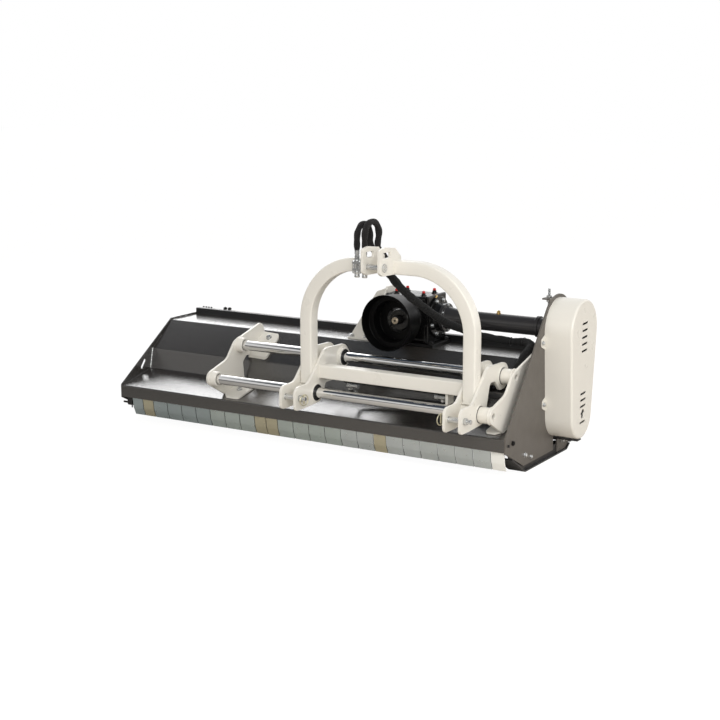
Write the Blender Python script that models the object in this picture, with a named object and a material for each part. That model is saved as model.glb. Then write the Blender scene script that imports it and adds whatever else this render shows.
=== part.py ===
"""Flail mulcher for a compact tractor's three-point hitch, with hydraulic side shift.

Metres. +X is to the right seen from the tractor, +Y points away from the tractor, +Z is up.
The origin is on the ground under the middle of the machine. Every shape is laid out in a working
frame whose X is 0 midway between the side plates and whose Y is 0 at the front face of the lip.
"""

import math

import bmesh
import bpy
from mathutils import Euler, Matrix, Vector

GAP = 0.0003  # between pieces that touch

# Hood
HALF_WIDTH = 0.875  # outer faces of the side plates
PLATE = 0.006
SHEET = 0.005
INNER_HALF = HALF_WIDTH - PLATE - GAP
LIP_BOTTOM, LIP_TOP = 0.105, 0.153
DECK_BACK_Y, DECK_BACK_Z = 0.186, 0.193
WALL_TOP_Y, WALL_TOP_Z = 0.203, 0.275
ROOF_FRONT_Y, ROOF_Z, ROOF_BACK_Y = 0.333, 0.378, 0.532
TAIL_Y, TAIL_Z = 0.665, 0.262
TAIL_END_Y, TAIL_END_Z = 0.698, 0.165
RAIL_HEIGHT = 0.027
SOLE_FRONT_Y, SOLE_BACK_Y, SOLE_INNER_X = 0.160, 0.535, 0.812
PLATE_FLOOR = 0.025
PLATE_TOP_R = 0.130

# Rotor and drive
ROTOR_Y, ROTOR_Z = 0.421, 0.172
DRIVE_Y, DRIVE_Z = 0.427, 0.487
ROTOR_TUBE_R, HAMMER_REACH = 0.057, 0.148
SHAFT_R = 0.025
ROTOR_PULLEY_R, DRIVE_PULLEY_R = 0.068, 0.092
PULLEY_X, PULLEY_WIDTH = 0.908, 0.046
COVER_X0, COVER_X1 = HALF_WIDTH + GAP, 0.984
COVER_TOP_R, COVER_FOOT_R, COVER_SHEET = 0.118, 0.090, 0.0025
INPUT_X = 0.275
GEARBOX_FLANGE_X = 0.400
TUBE_R = 0.0345
SHIELD_R, SHIELD_FRONT_Y, SHIELD_BACK_Y = 0.108, 0.189, 0.284
ROLLER_R = 0.070
ROLLER_Y, ROLLER_Z = 0.655, ROLLER_R + GAP

# Slide rods and the carriage that rides on them
ROD_R = 0.020
LOWER_ROD_Y, LOWER_ROD_Z = -0.033, 0.243
UPPER_ROD_Y, UPPER_ROD_Z = 0.145, 0.349
LEFT_BRACKET_X, RIGHT_BRACKET_X, BRACKET = -0.388, 0.833, 0.010
BOSS_R, LEFT_BOSS, RIGHT_BOSS = 0.029, 0.030, 0.0415
CARRIAGE_X = 0.4125
HITCH_SPREAD = 0.681
EAR, EAR_GAP = 0.010, 0.051
SLEEVE_R, SLEEVE_BORE = 0.037, 0.0206
MAST_TUBE, MAST_Y, MAST_TOP_Z, MAST_BEND_R = 0.050, -0.031, 0.741, 0.222
HITCH_PIN_Y, HITCH_PIN_Z, HITCH_PIN_R = -0.150, 0.243, 0.011
TOP_PIN_Y, TOP_PIN_Z, TOP_PIN_R = -0.126, 0.748, 0.0095
TOP_EAR_GAP = 0.058
CROSS_TUBE_Y, CROSS_TUBE_Z = 0.006, 0.320
CYLINDER_Y, CYLINDER_Z, CYLINDER_R, CYLINDER_ROD_R = 0.085, 0.288, 0.0235, 0.0125
BARREL_X0, BARREL_X1 = 0.160, 0.610
SIDE_SHIFT_TRAVEL = 0.350

# The textile sleeve over both hoses, from the mast down to the drive tube and round to the cylinder
SLEEVE_HOSE_R = 0.017
SLEEVE_ROUTE = [
    (0.3620, 0.040, 0.7300), (0.3760, 0.043, 0.7000), (0.4110, 0.096, 0.6300), (0.4450, 0.180, 0.5640),
    (0.4910, 0.250, 0.5060), (0.5400, 0.305, 0.4720), (0.6010, 0.350, 0.4440), (0.7080, 0.378, 0.4300),
    (0.7690, 0.374, 0.4340), (0.8060, 0.345, 0.4280), (0.8120, 0.288, 0.4090), (0.8020, 0.254, 0.3740),
    (0.7880, 0.234, 0.3430), (0.7700, 0.224, 0.3300),
]

# Front flaps: W is a wide one, N is a narrow one
FLAP_ORDER = "NNWWWWWWWNNWWWWWWNWWWWWWN"
FLAP_WIDTH = {"W": 0.0719, "N": 0.0544}
FLAP_START, FLAP_GAP, FLAP_SHEET = -0.828, 0.0010, 0.003
HINGE_Y, HINGE_Z, HINGE_R, EYE_R = 0.020, 0.128, 0.0048, 0.0092
FLAP_KINK_Z, FLAP_END_Z, FLAP_TUCK = 0.060, 0.030, 0.009
FLAP_LEAN = math.radians(7.6)  # brings the weight of a hanging flap under the rod

CREAM = (0.78, 0.75, 0.68, 1)
DARK_GREY = (0.045, 0.045, 0.048, 1)
TAUPE = (0.135, 0.122, 0.108, 1)
BLACK = (0.012, 0.012, 0.013, 1)
STEEL = (0.62, 0.63, 0.64, 1)
ZINC = (0.50, 0.54, 0.54, 1)


def clear_scene():
    for thing in list(bpy.data.objects):
        bpy.data.objects.remove(thing, do_unlink=True)


def finish(name, colour, roughness=0.45, metallic=0.0):
    """A plain material of the piece's own colour and gloss."""
    material = bpy.data.materials.new(name)
    material.use_nodes = True
    shader = material.node_tree.nodes["Principled BSDF"]
    shader.inputs["Base Color"].default_value = colour
    shader.inputs["Roughness"].default_value = roughness
    shader.inputs["Metallic"].default_value = metallic
    return material


def add_piece(name, mesh, material, parent=None):
    piece = bpy.data.objects.new(name, mesh)
    bpy.context.collection.objects.link(piece)
    mesh.materials.append(material)
    mesh.shade_smooth()
    mesh.set_sharp_from_angle(angle=math.radians(35))
    piece.parent = parent
    return piece


def mesh_of(shape, name):
    bmesh.ops.recalc_face_normals(shape, faces=shape.faces)
    mesh = bpy.data.meshes.new(name)
    shape.to_mesh(mesh)
    shape.free()
    return mesh


def rounded(corners, step=math.radians(30)):
    """A closed outline from (u, v, radius) corners, each radius turned into a tangent arc."""
    points = []
    for i, (u, v, radius) in enumerate(corners):
        here = Vector((u, v))
        before = (Vector(corners[i - 1][:2]) - here).normalized()
        after = (Vector(corners[(i + 1) % len(corners)][:2]) - here).normalized()
        if radius <= 0:
            points.append(here)
            continue
        half = before.angle(after) / 2
        centre = here + (before + after).normalized() * (radius / math.sin(half))
        start = here + before * (radius / math.tan(half)) - centre
        turn = start.angle_signed(here + after * (radius / math.tan(half)) - centre)
        count = max(1, math.ceil(abs(turn) / (step if radius > 0.009 else 1.5 * step) - 0.01))
        for k in range(count + 1):
            points.append(centre + Matrix.Rotation(-turn * k / count, 2) @ start)
    return [tuple(point) for k, point in enumerate(points) if (point - points[k - 1]).length > 1e-5]


def circle(u, v, radius, sides=20):
    return [
        (u + radius * math.cos(math.tau * k / sides), v + radius * math.sin(math.tau * k / sides))
        for k in range(sides)
    ]


def slot(u, v, length, width, tilt, sides=3):
    """An outline with two round ends; the tilt is its long side's angle."""
    along = Vector((math.cos(tilt), math.sin(tilt))) * (length - width) / 2
    points = []
    for end, start in ((1, tilt - math.pi / 2), (-1, tilt + math.pi / 2)):
        for k in range(sides + 1):
            angle = start + math.pi * k / sides
            points.append((
                u + end * along.x + width / 2 * math.cos(angle),
                v + end * along.y + width / 2 * math.sin(angle),
            ))
    return points


PLANES = {
    "X": lambda u, v, depth: Vector((depth, u, v)),  # outline in Y and Z
    "Y": lambda u, v, depth: Vector((u, depth, v)),  # outline in X and Z
    "Z": lambda u, v, depth: Vector((u, v, depth)),  # outline in X and Y
}


def prism(outline, start, end, axis="X", holes=()):
    """An outline with holes, made solid from start to end along the axis."""
    place = PLANES[axis]
    shape = bmesh.new()
    rims = []
    for loop in (outline, *holes):
        ring = [shape.verts.new(place(u, v, start)) for u, v in loop]
        rims += [shape.edges.new((ring[k - 1], ring[k])) for k in range(len(ring))]
    faces = bmesh.ops.triangle_fill(shape, use_beauty=True, edges=rims)["geom"]
    faces = [face for face in faces if isinstance(face, bmesh.types.BMFace)]
    raised = bmesh.ops.extrude_face_region(shape, geom=faces, use_keep_orig=True)["geom"]
    lift = place(0, 0, end) - place(0, 0, start)
    bmesh.ops.translate(
        shape, vec=lift, verts=[item for item in raised if isinstance(item, bmesh.types.BMVert)]
    )
    return mesh_of(shape, "prism")


def turned(profile, centre, axis="X", sides=20):
    """A (distance along the axis, radius) profile turned about an axis through the centre.
    A profile that starts and ends on the axis is solid; any other closes on itself as a ring."""
    shape = bmesh.new()
    solid = profile[0][1] == 0
    rings = []
    for along, radius in profile:
        if radius == 0:
            rings.append([shape.verts.new((along, 0, 0))] * sides)
            continue
        rings.append([
            shape.verts.new((along, radius * math.cos(a), radius * math.sin(a)))
            for a in (math.tau * k / sides for k in range(sides))
        ])
    pairs = list(zip(rings, rings[1:]))
    if not solid:
        pairs.append((rings[-1], rings[0]))
    for low, high in pairs:
        for k in range(sides):
            corners = (low[k - 1], low[k], high[k], high[k - 1])
            shape.faces.new(list(dict.fromkeys(corners)))
    turn = {"X": Matrix(), "Y": Matrix.Rotation(math.pi / 2, 4, "Z"),
            "Z": Matrix.Rotation(-math.pi / 2, 4, "Y")}[axis]
    shape.transform(Matrix.Translation(centre) @ turn)
    return mesh_of(shape, "turned")


def post(start, end, radius, centre, axis="X", sides=20):
    return turned([(start, 0), (start, radius), (end, radius), (end, 0)], centre, axis, sides)


def rod(start, end, radius, centre, axis="X", chamfer=0.001, sides=20):
    return turned(
        [(start, 0), (start, radius - chamfer), (start + chamfer, radius),
         (end - chamfer, radius), (end, radius - chamfer), (end, 0)],
        centre, axis, sides,
    )


def ring(start, end, outer, inner, centre, axis="X", sides=24):
    return turned([(start, inner), (start, outer), (end, outer), (end, inner)], centre, axis, sides)


def block(low, high, bevel=0.0):
    shape = bmesh.new()
    size = Vector(high) - Vector(low)
    bmesh.ops.create_cube(shape, size=1)
    bmesh.ops.scale(shape, vec=size, verts=shape.verts)
    bmesh.ops.translate(shape, vec=(Vector(high) + Vector(low)) / 2, verts=shape.verts)
    if bevel:
        bmesh.ops.bevel(shape, geom=shape.edges[:], offset=bevel, segments=2, profile=0.5,
                        affect="EDGES")
    return mesh_of(shape, "block")


def combine(piece, mesh, operation):
    tool = bpy.data.objects.new(piece.name + "." + operation.lower(), mesh)
    bpy.context.collection.objects.link(tool)
    tool.parent = piece
    tool.hide_render = True
    tool.display_type = "WIRE"
    modifier = piece.modifiers.new(operation.title(), "BOOLEAN")
    modifier.operation = operation
    modifier.solver = "EXACT"
    modifier.object = tool


def weld(piece, *meshes):
    for mesh in meshes:
        combine(piece, mesh, "UNION")


def cut(piece, *meshes):
    """Takes out shapes that don't touch each other, all in one Boolean."""
    shape = bmesh.new()
    for mesh in meshes:
        shape.from_mesh(mesh)
        bpy.data.meshes.remove(mesh)
    mesh = bpy.data.meshes.new("cutter")
    shape.to_mesh(mesh)
    shape.free()
    combine(piece, mesh, "DIFFERENCE")


def smooth_route(points, spacing):
    """Points at about this spacing on a smooth curve through the route's own points."""
    points = [Vector(point) for point in points]
    padded = [2 * points[0] - points[1], *points, 2 * points[-1] - points[-2]]
    route = [points[0]]
    for a, b, c, d in zip(padded, padded[1:], padded[2:], padded[3:]):
        count = max(1, round((c - b).length / spacing))
        for k in range(1, count + 1):
            t = k / count
            route.append(0.5 * (
                2 * b + (c - a) * t + (2 * a - 5 * b + 4 * c - d) * t * t
                + (3 * b - a - 3 * c + d) * t ** 3
            ))
    return route


def hose(name, points, radius, material, parent):
    """A capped tube along a smooth route."""
    curve = bpy.data.curves.new(name, "CURVE")
    curve.dimensions = "3D"
    curve.bevel_depth = radius
    curve.bevel_resolution = 2
    curve.use_fill_caps = True
    route = smooth_route(points, 2.2 * radius)
    spline = curve.splines.new("POLY")
    spline.points.add(len(route) - 1)
    for knot, point in zip(spline.points, route):
        knot.co = (*point, 1)
    curve.materials.append(material)
    piece = bpy.data.objects.new(name, curve)
    bpy.context.collection.objects.link(piece)
    piece.parent = parent
    return piece


def deck_z(y):
    """Height of the front deck's top face."""
    return LIP_TOP + (DECK_BACK_Z - LIP_TOP) * y / DECK_BACK_Y


def slope_z(y):
    """Height of the sloping face between the front wall and the roof."""
    rise = (ROOF_Z - WALL_TOP_Z) / (ROOF_FRONT_Y - WALL_TOP_Y)
    return WALL_TOP_Z + rise * (y - WALL_TOP_Y)


def hood_line():
    """The hood's outer face from the lip's foot to the tail's end, as (y, z, bend radius)."""
    return [
        (0.0, LIP_BOTTOM, 0), (0.0, LIP_TOP, 0.006), (DECK_BACK_Y, DECK_BACK_Z, 0.006),
        (WALL_TOP_Y, WALL_TOP_Z, 0.008), (ROOF_FRONT_Y, ROOF_Z, 0.012),
        (ROOF_BACK_Y, ROOF_Z, 0.030), (TAIL_Y, TAIL_Z, 0.030), (TAIL_END_Y, TAIL_END_Z, 0),
    ]


def offset_line(line, distance):
    """The same open line moved sideways, to its right as it runs."""
    points = [Vector(point[:2]) for point in line]
    moved = []
    for k, here in enumerate(points):
        sides = []
        for a, b in ((k - 1, k), (k, k + 1)):
            if a >= 0 and b < len(points):
                run = (points[b] - points[a]).normalized()
                sides.append(Vector((run.y, -run.x)))
        across = (sides[0] + sides[-1]).normalized()
        shift = across * distance / across.dot(sides[0])
        bend = line[k][2]
        moved.append((here.x + shift.x, here.y + shift.y, bend))
    return moved


def hood(paint, parent):
    """One folded sheet, with an upturned channel welded along the back of its roof."""
    line = hood_line()
    outline = rounded(line + offset_line(line, SHEET)[::-1], step=math.radians(20))
    sheet = add_piece("hood_sheet", prism(outline, -INNER_HALF, INNER_HALF), paint, parent)
    y0, y1, z0, z1, wall = 0.500, 0.528, ROOF_Z - 0.002, ROOF_Z + RAIL_HEIGHT, 0.004
    channel = rounded([
        (y0, z0, 0), (y0, z1, 0.004), (y1, z1, 0.004), (y1, z0, 0), (y1 - wall, z0, 0),
        (y1 - wall, z1 - wall, 0), (y0 + wall, z1 - wall, 0), (y0 + wall, z0, 0),
    ])
    weld(sheet, prism(channel, -INNER_HALF + 0.004, 0.790))


def left_plate_outline():
    return rounded([
        (0.0, 0.102, 0.004), (0.0, LIP_TOP + 0.003, 0.006), (0.330, 0.386, 0.012),
        (0.505, 0.405, 0.010), (0.560, 0.400, 0.040), (0.690, 0.285, 0.060), (0.735, 0.150, 0.020),
        (0.725, 0.052, 0.015), (0.545, PLATE_FLOOR, 0.020), (0.150, PLATE_FLOOR, 0.010),
    ])


def right_plate_outline():
    """Its front edge climbs tangent to a round top that stands a little proud of the belt cover."""
    r, foot = PLATE_TOP_R, LIP_TOP + 0.005
    reach = Vector((DRIVE_Y, DRIVE_Z - foot))
    climb = math.tan(math.atan2(reach.y, reach.x) + math.asin(r / reach.length))
    top, back = DRIVE_Z + r, DRIVE_Y + r
    return rounded([
        (0.0, 0.102, 0.004), (0.0, foot, 0.004), ((top - foot) / climb, top, r), (back, top, r),
        (back + 0.004, 0.410, 0.050), (0.690, 0.285, 0.060), (0.735, 0.150, 0.020),
        (0.725, 0.052, 0.015), (0.545, PLATE_FLOOR, 0.020), (0.155, PLATE_FLOOR, 0.006),
    ])


def bearing(side):
    """The rotor's flange bearing on the outside of a side plate."""
    steps = [(-0.003, 0), (-0.003, 0.056), (0.010, 0.056), (0.016, 0.046), (0.022, 0.044), (0.022, 0)]
    return turned([(side * (HALF_WIDTH + along), radius) for along, radius in steps], (0, ROTOR_Y, ROTOR_Z))


def side_plates(dark, taupe, parent):
    hinge_hole = circle(HINGE_Y, HINGE_Z, HINGE_R + 2 * GAP, 12)
    grab = slot(0.1415, 0.2175, 0.046, 0.016, math.radians(52))
    left = add_piece(
        "left_side_plate",
        prism(left_plate_outline(), -HALF_WIDTH, -HALF_WIDTH + PLATE, holes=[hinge_hole, grab]),
        dark, parent,
    )
    right = add_piece(
        "right_side_plate",
        prism(right_plate_outline(), HALF_WIDTH - PLATE, HALF_WIDTH,
              holes=[hinge_hole, circle(DRIVE_Y, DRIVE_Z, 0.024)]),
        taupe, parent,
    )
    adjuster_x = HALF_WIDTH - 0.022
    weld(
        right,
        block((HALF_WIDTH - 0.003, 0.395, 0.0625), (0.972, 0.446, 0.0675)),
        prism([(0.357, 0.542), (0.351, 0.609), (0.419, 0.609), (0.435, 0.572)],
              HALF_WIDTH - PLATE + 0.0005, HALF_WIDTH - 0.0005),
        block((HALF_WIDTH - 0.040, 0.367, 0.6005), (HALF_WIDTH - 0.001, 0.415, 0.6065)),
        rod(0.575, 0.644, 0.006, (adjuster_x, 0.391, 0), "Z", sides=12),
        turned([(0.606, 0), (0.606, 0.0115), (0.618, 0.0115), (0.618, 0)], (adjuster_x, 0.391, 0), "Z", 6),
    )
    for piece, side in ((left, -1), (right, 1)):
        weld(piece, bearing(side))
        span = sorted((side * (HALF_WIDTH - 0.02), side * (HALF_WIDTH + 0.04)))
        cut(piece, post(*span, SHAFT_R + 0.0008, (0, ROTOR_Y, ROTOR_Z), sides=24))


def skids(paint, parent):
    """A sole bent up at both ends under each side plate, on a web bolted inside the plate."""
    foot = [(0.046, 0.070, 0), (SOLE_FRONT_Y, 0.0, 0.03), (SOLE_BACK_Y, 0.0, 0.02),
            (SOLE_BACK_Y + 0.028, 0.018, 0)]
    sole = rounded(foot + offset_line(foot, -0.006)[::-1])
    web = rounded([
        (0.044, 0.076, 0), (0.044, 0.142, 0.008), (0.085, 0.142, 0.010), (0.205, 0.085, 0.020),
        (0.300, 0.085, 0.010), (0.330, 0.040, 0.015), (0.500, 0.040, 0.010), (0.520, 0.003, 0),
        (SOLE_FRONT_Y, 0.003, 0),
    ])
    for name, side in (("left_skid", -1), ("right_skid", 1)):
        span = sorted((side * SOLE_INNER_X, side * (HALF_WIDTH + 0.004)))
        piece = add_piece(name, prism(sole, *span), paint, parent)
        span = sorted((side * (INNER_HALF - 0.006), side * INNER_HALF))
        weld(piece, prism(web, *span))


def flap_profile():
    """A rolled eye round the hinge rod and a tongue that hangs from its front and tucks in."""
    face = HINGE_Y - EYE_R
    back = face + FLAP_SHEET
    eye = [
        (HINGE_Y + EYE_R * math.cos(a), HINGE_Z + EYE_R * math.sin(a))
        for a in (math.radians(d) for d in range(180, -121, -60))
    ]
    return eye + [
        (back, HINGE_Z - EYE_R * 0.9), (back, FLAP_KINK_Z), (back + FLAP_TUCK, FLAP_END_Z + 0.001),
        (back + FLAP_TUCK - FLAP_SHEET * 0.9, FLAP_END_Z), (face, FLAP_KINK_Z + 0.001),
    ]


def front_flaps(zinc, parent):
    bore = circle(0, 0, HINGE_R + 0.0010, 6)
    lean = Matrix.Rotation(FLAP_LEAN, 2)
    profile = [tuple(lean @ Vector((y - HINGE_Y, z - HINGE_Z))) for y, z in flap_profile()]
    x = FLAP_START
    for number, kind in enumerate(FLAP_ORDER, start=1):
        width = FLAP_WIDTH[kind]
        piece = add_piece(
            f"front_flap_{number:02d}",
            prism(profile, 0, width - FLAP_GAP, holes=[bore]), zinc, parent,
        )
        piece.location = (x, HINGE_Y, HINGE_Z)
        x += width
    add_piece(
        "flap_hinge_rod",
        rod(-HALF_WIDTH - 0.014, HALF_WIDTH + 0.006, HINGE_R, (0, HINGE_Y, HINGE_Z), sides=12),
        zinc, parent,
    )


def bracket_outline():
    """The slide bracket's plate: round the lower rod, up an S to its tip on the slope, clear of the wall."""
    lift = 4 * GAP
    nose = LOWER_ROD_Y - BOSS_R - 0.001
    return rounded([
        (0.046, deck_z(0.046) + lift, 0), (nose, 0.2257, 0.0295), (nose, 0.2663, 0.0295), (0.064, 0.301, 0.060),
        (0.120, 0.367, 0.035), (0.310, 0.4175, 0.026), (0.325, slope_z(0.325) + lift, 0.004),
        (0.224, slope_z(0.224) + lift, 0), (0.196, 0.296, 0.012), (0.171, 0.274, 0.014),
        (0.180, deck_z(0.180) + lift, 0),
    ], step=math.radians(36))


def laid(outline, rise, base, thickness):
    """A plate cut to an outline in X and Y and laid on a slope that climbs along Y."""
    mesh = prism(outline, 0, thickness, "Z")
    mesh.transform(Matrix(((1, 0, 0, 0), (0, 1, 0, 0), (0, rise, 1, base), (0, 0, 0, 1))))
    return mesh


def slide_brackets(cream, parent):
    """A plate with a blind boss on each rod's end, a foot on the deck and a pad on the slope."""
    lift = 2 * GAP
    deck_rise, slope_rise = deck_z(1) - deck_z(0), slope_z(1) - slope_z(0)
    for name, x, toward, boss, front, reach in (
        ("left_slide_bracket", LEFT_BRACKET_X, 1, LEFT_BOSS, 0.016, 0.086),
        ("right_slide_bracket", RIGHT_BRACKET_X, -1, RIGHT_BOSS, 0.028, 0.055),
    ):
        piece = add_piece(name, prism(bracket_outline(), x, x + BRACKET), cream, parent)
        face, back = (x + BRACKET, x) if toward > 0 else (x, x + BRACKET)
        root = face - toward * 0.004
        foot = [(-0.004, 0.048, 0), (0.042 - front, front, 0.006), (reach, front, 0.014), (reach, 0.135, 0.010),
                (-0.004, 0.135, 0)]
        pad = [(-0.004, 0.213, 0), (reach, 0.211, 0.014), (reach, 0.311, 0.016), (-0.004, 0.315, 0)]
        for corners, rise, base, thickness in (
            (foot, deck_rise, deck_z(0) + lift, 0.0075), (pad, slope_rise, slope_z(0) + lift, 0.0115),
        ):
            outline = rounded([(face + toward * out, y, bend) for out, y, bend in corners])
            weld(piece, laid(outline, rise, base, thickness))
        axes = ((LOWER_ROD_Y, LOWER_ROD_Z), (UPPER_ROD_Y, UPPER_ROD_Z))
        for y, z in axes:
            weld(piece, post(*sorted((root, face + toward * boss)), BOSS_R, (0, y, z)))
        bore, bolt, reach = ROD_R + 2 * GAP, 0.0085, 0.2
        steps = [(-toward * 0.02, 0), (-toward * 0.02, bolt), (0, bolt), (0, bore), (toward * reach, bore),
                 (toward * reach, 0)]
        cut(piece, *(turned(steps, (face, y, z)) for y, z in axes))


def slide_rods(chrome, parent):
    start = LEFT_BRACKET_X + BRACKET + GAP
    end = RIGHT_BRACKET_X - GAP
    for name, y, z in (("lower_slide_rod", LOWER_ROD_Y, LOWER_ROD_Z), ("upper_slide_rod", UPPER_ROD_Y, UPPER_ROD_Z)):
        add_piece(name, rod(start, end, ROD_R, (0, y, z)), chrome, parent)


def cylinder(black, chrome, fixed, moving):
    """The barrel stays on the right bracket; its rod is held by the left clevis and moves with it."""
    bore, floor = CYLINDER_ROD_R + GAP, BARREL_X0 + 0.420
    tail_end = RIGHT_BRACKET_X - GAP
    barrel = add_piece("cylinder_barrel", turned([
        (floor, 0), (floor, bore), (BARREL_X0, bore), (BARREL_X0, CYLINDER_R), (BARREL_X1, CYLINDER_R),
        (BARREL_X1 + 0.004, 0.012), (tail_end, 0.012), (tail_end, 0),
    ], (0, CYLINDER_Y, CYLINDER_Z)), black, fixed)
    for x in (BARREL_X0 + 0.022, BARREL_X1 - 0.030):
        weld(barrel, rod(-0.036, -0.018, 0.009, (x, CYLINDER_Y, CYLINDER_Z), "Z", sides=12))
    start = -HITCH_SPREAD / 2 + EAR_GAP / 2 + EAR + GAP
    end = BARREL_X0 + 0.040 - CARRIAGE_X
    add_piece(
        "cylinder_rod", rod(start, end, CYLINDER_ROD_R, (0, CYLINDER_Y, CYLINDER_Z)), chrome, moving
    )


def gearbox(cream, iron, steel, plastic, parent, input_parent):
    cx, cy, cz = INPUT_X, DRIVE_Y, DRIVE_Z
    base_z = ROOF_Z + GAP
    pedestal = add_piece("gearbox_pedestal", block((0.060, 0.345, base_z), (0.392, 0.496, base_z + 0.010)),
                         cream, parent)
    cheek = rounded([(0.352, base_z + 0.004, 0), (0.352, 0.560, 0.020), (0.380, 0.596, 0.012),
                     (0.470, 0.596, 0.014), (0.485, 0.560, 0.020), (0.485, base_z + 0.004, 0)])
    gusset = rounded([(0.012, base_z + 0.001, 0), (0.016, base_z + 0.022, 0.010), (0.130, 0.575, 0.020),
                      (0.174, 0.592, 0.006), (0.174, base_z + 0.001, 0)])
    weld(
        pedestal,
        prism(cheek, 0.164, 0.174),
        prism(gusset, 0.366, 0.376, "Y"),
        block((0.008, 0.3455, base_z), (0.100, 0.420, base_z + 0.008)),
    )
    body = add_piece("gearbox_housing", block((0.183, 0.348, base_z + 0.0105), (0.367, 0.497, 0.575), 0.014),
                     iron, parent)
    weld(
        body,
        turned([(0.1745, 0), (0.1745, 0.082), (0.188, 0.082), (0.188, 0)], (0, cy, cz), "X", 24),
        turned([(0.360, 0), (0.360, 0.082), (0.378, 0.082), (0.378, 0.052), (GEARBOX_FLANGE_X, 0.046),
                (GEARBOX_FLANGE_X, 0)], (0, cy, cz), "X", 24),
        turned([(0.296, 0), (0.296, 0.040), (0.318, 0.046), (0.324, 0.076), (0.350, 0.076), (0.350, 0)],
               (cx, 0, cz), "Y", 24),
    )
    for x in (0.215, 0.335):
        for y in (0.375, 0.462):
            weld(body, rod(0.565, 0.589, 0.010, (x, y, 0), "Z", sides=10))
    cut(
        body,
        post(0.290, 0.336, 0.0182, (cx, 0, cz), "Y"),
        post(0.380, 0.410, 0.0185, (0, cy, cz), "X"),
    )

    teeth, outer, root = 6, 0.0174, 0.0148
    spline = []
    for k in range(teeth):
        for fraction, radius in ((-0.30, root), (-0.22, outer), (0.22, outer), (0.30, root)):
            angle = math.tau * (k + fraction) / teeth
            spline.append((radius * math.cos(angle), radius * math.sin(angle)))
    shaft = add_piece("pto_input_shaft", prism(spline, -0.045, 0.048, "Y"), steel, input_parent)
    weld(shaft, rod(-0.052, -0.044, 0.0140, (0, 0, 0), "Y", sides=18))

    add_piece("pto_shield", turned([
        (SHIELD_FRONT_Y, SHIELD_R), (SHIELD_FRONT_Y + 0.006, SHIELD_R), (SHIELD_BACK_Y - 0.010, 0.101),
        (SHIELD_BACK_Y, 0.096), (SHIELD_BACK_Y, 0.0470), (SHIELD_BACK_Y - 0.004, 0.0470),
        (SHIELD_BACK_Y - 0.004, 0.078), (SHIELD_FRONT_Y + 0.044, 0.080), (SHIELD_FRONT_Y + 0.042, 0.099),
        (SHIELD_FRONT_Y, 0.104),
    ], (cx, 0, cz), "Y", 30), plastic, parent)


def drive_line(black, steel, rubber, fixed, drive_parent, rotor_parent):
    centre = (0, DRIVE_Y, DRIVE_Z)
    bore = 0.024
    start, end = GEARBOX_FLANGE_X + GAP, HALF_WIDTH - PLATE - GAP
    tube = add_piece("drive_shaft_tube", turned([
        (start, bore), (start, 0.056), (start + 0.014, 0.056), (start + 0.014, 0.044),
        (start + 0.060, TUBE_R), (0.792, TUBE_R), (0.792, 0.040), (0.806, 0.040), (0.806, TUBE_R),
        (end - 0.010, TUBE_R), (end - 0.010, 0.052), (end, 0.052), (end, bore),
    ], centre), black, fixed)
    weld(tube, rod(TUBE_R - 0.006, TUBE_R + 0.013, 0.0085, (0.631, DRIVE_Y, DRIVE_Z), "Z", sides=10))

    shaft_r = 0.0178
    left, right = PULLEY_X, PULLEY_X + PULLEY_WIDTH
    add_piece("drive_shaft", turned(
        [(0.382, 0), (0.382, shaft_r), (left - 0.006, shaft_r)]
        + pulley_profile(left, right, DRIVE_PULLEY_R) + [(right + 0.010, shaft_r), (right + 0.010, 0)],
        (0, 0, 0), "X", 18), steel, drive_parent)
    add_piece("rotor_pulley", turned(
        [(left - 0.006, SHAFT_R + GAP), (left - 0.006, SHAFT_R + 0.010)]
        + pulley_profile(left, right, ROTOR_PULLEY_R) + [(right + 0.010, SHAFT_R + 0.010),
                                                         (right + 0.010, SHAFT_R + GAP)],
        (0, 0, 0), "X", 18), steel, rotor_parent)


def pulley_profile(left, right, radius, grooves=2, depth=0.010):
    """The rim of a V-belt pulley, left to right."""
    pitch = (right - left) / grooves
    points = [(left, radius)]
    for k in range(grooves):
        a = left + pitch * k
        points += [(a + 0.003, radius), (a + 0.007, radius - depth), (a + pitch - 0.007, radius - depth),
                   (a + pitch - 0.003, radius)]
    return points + [(right, radius)]


def belt_outline(upper, lower, grow):
    """Two round ends joined by straight runs, round the drive pulley and the rotor pulley."""
    top, foot = Vector((DRIVE_Y, DRIVE_Z)), Vector((ROTOR_Y, ROTOR_Z))
    reach = top - foot
    lean = math.asin((upper - lower) / reach.length)
    heading = math.atan2(reach.y, reach.x)
    points = []
    for centre, radius, start, end in (
        (top, upper + grow, heading - math.pi / 2 - lean, heading + math.pi / 2 + lean),
        (foot, lower + grow, heading + math.pi / 2 + lean, heading + 3 * math.pi / 2 - lean),
    ):
        for k in range(15):
            angle = start + (end - start) * k / 14
            points.append((centre.x + radius * math.cos(angle), centre.y + radius * math.sin(angle)))
    return points


def drive_belt(rubber, parent):
    inner = belt_outline(DRIVE_PULLEY_R, ROTOR_PULLEY_R, 0.0014)
    outer = belt_outline(DRIVE_PULLEY_R, ROTOR_PULLEY_R, 0.0060)
    add_piece("drive_belt", prism(outer, PULLEY_X + 0.003, PULLEY_X + PULLEY_WIDTH - 0.003, holes=[inner]),
              rubber, parent)


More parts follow.
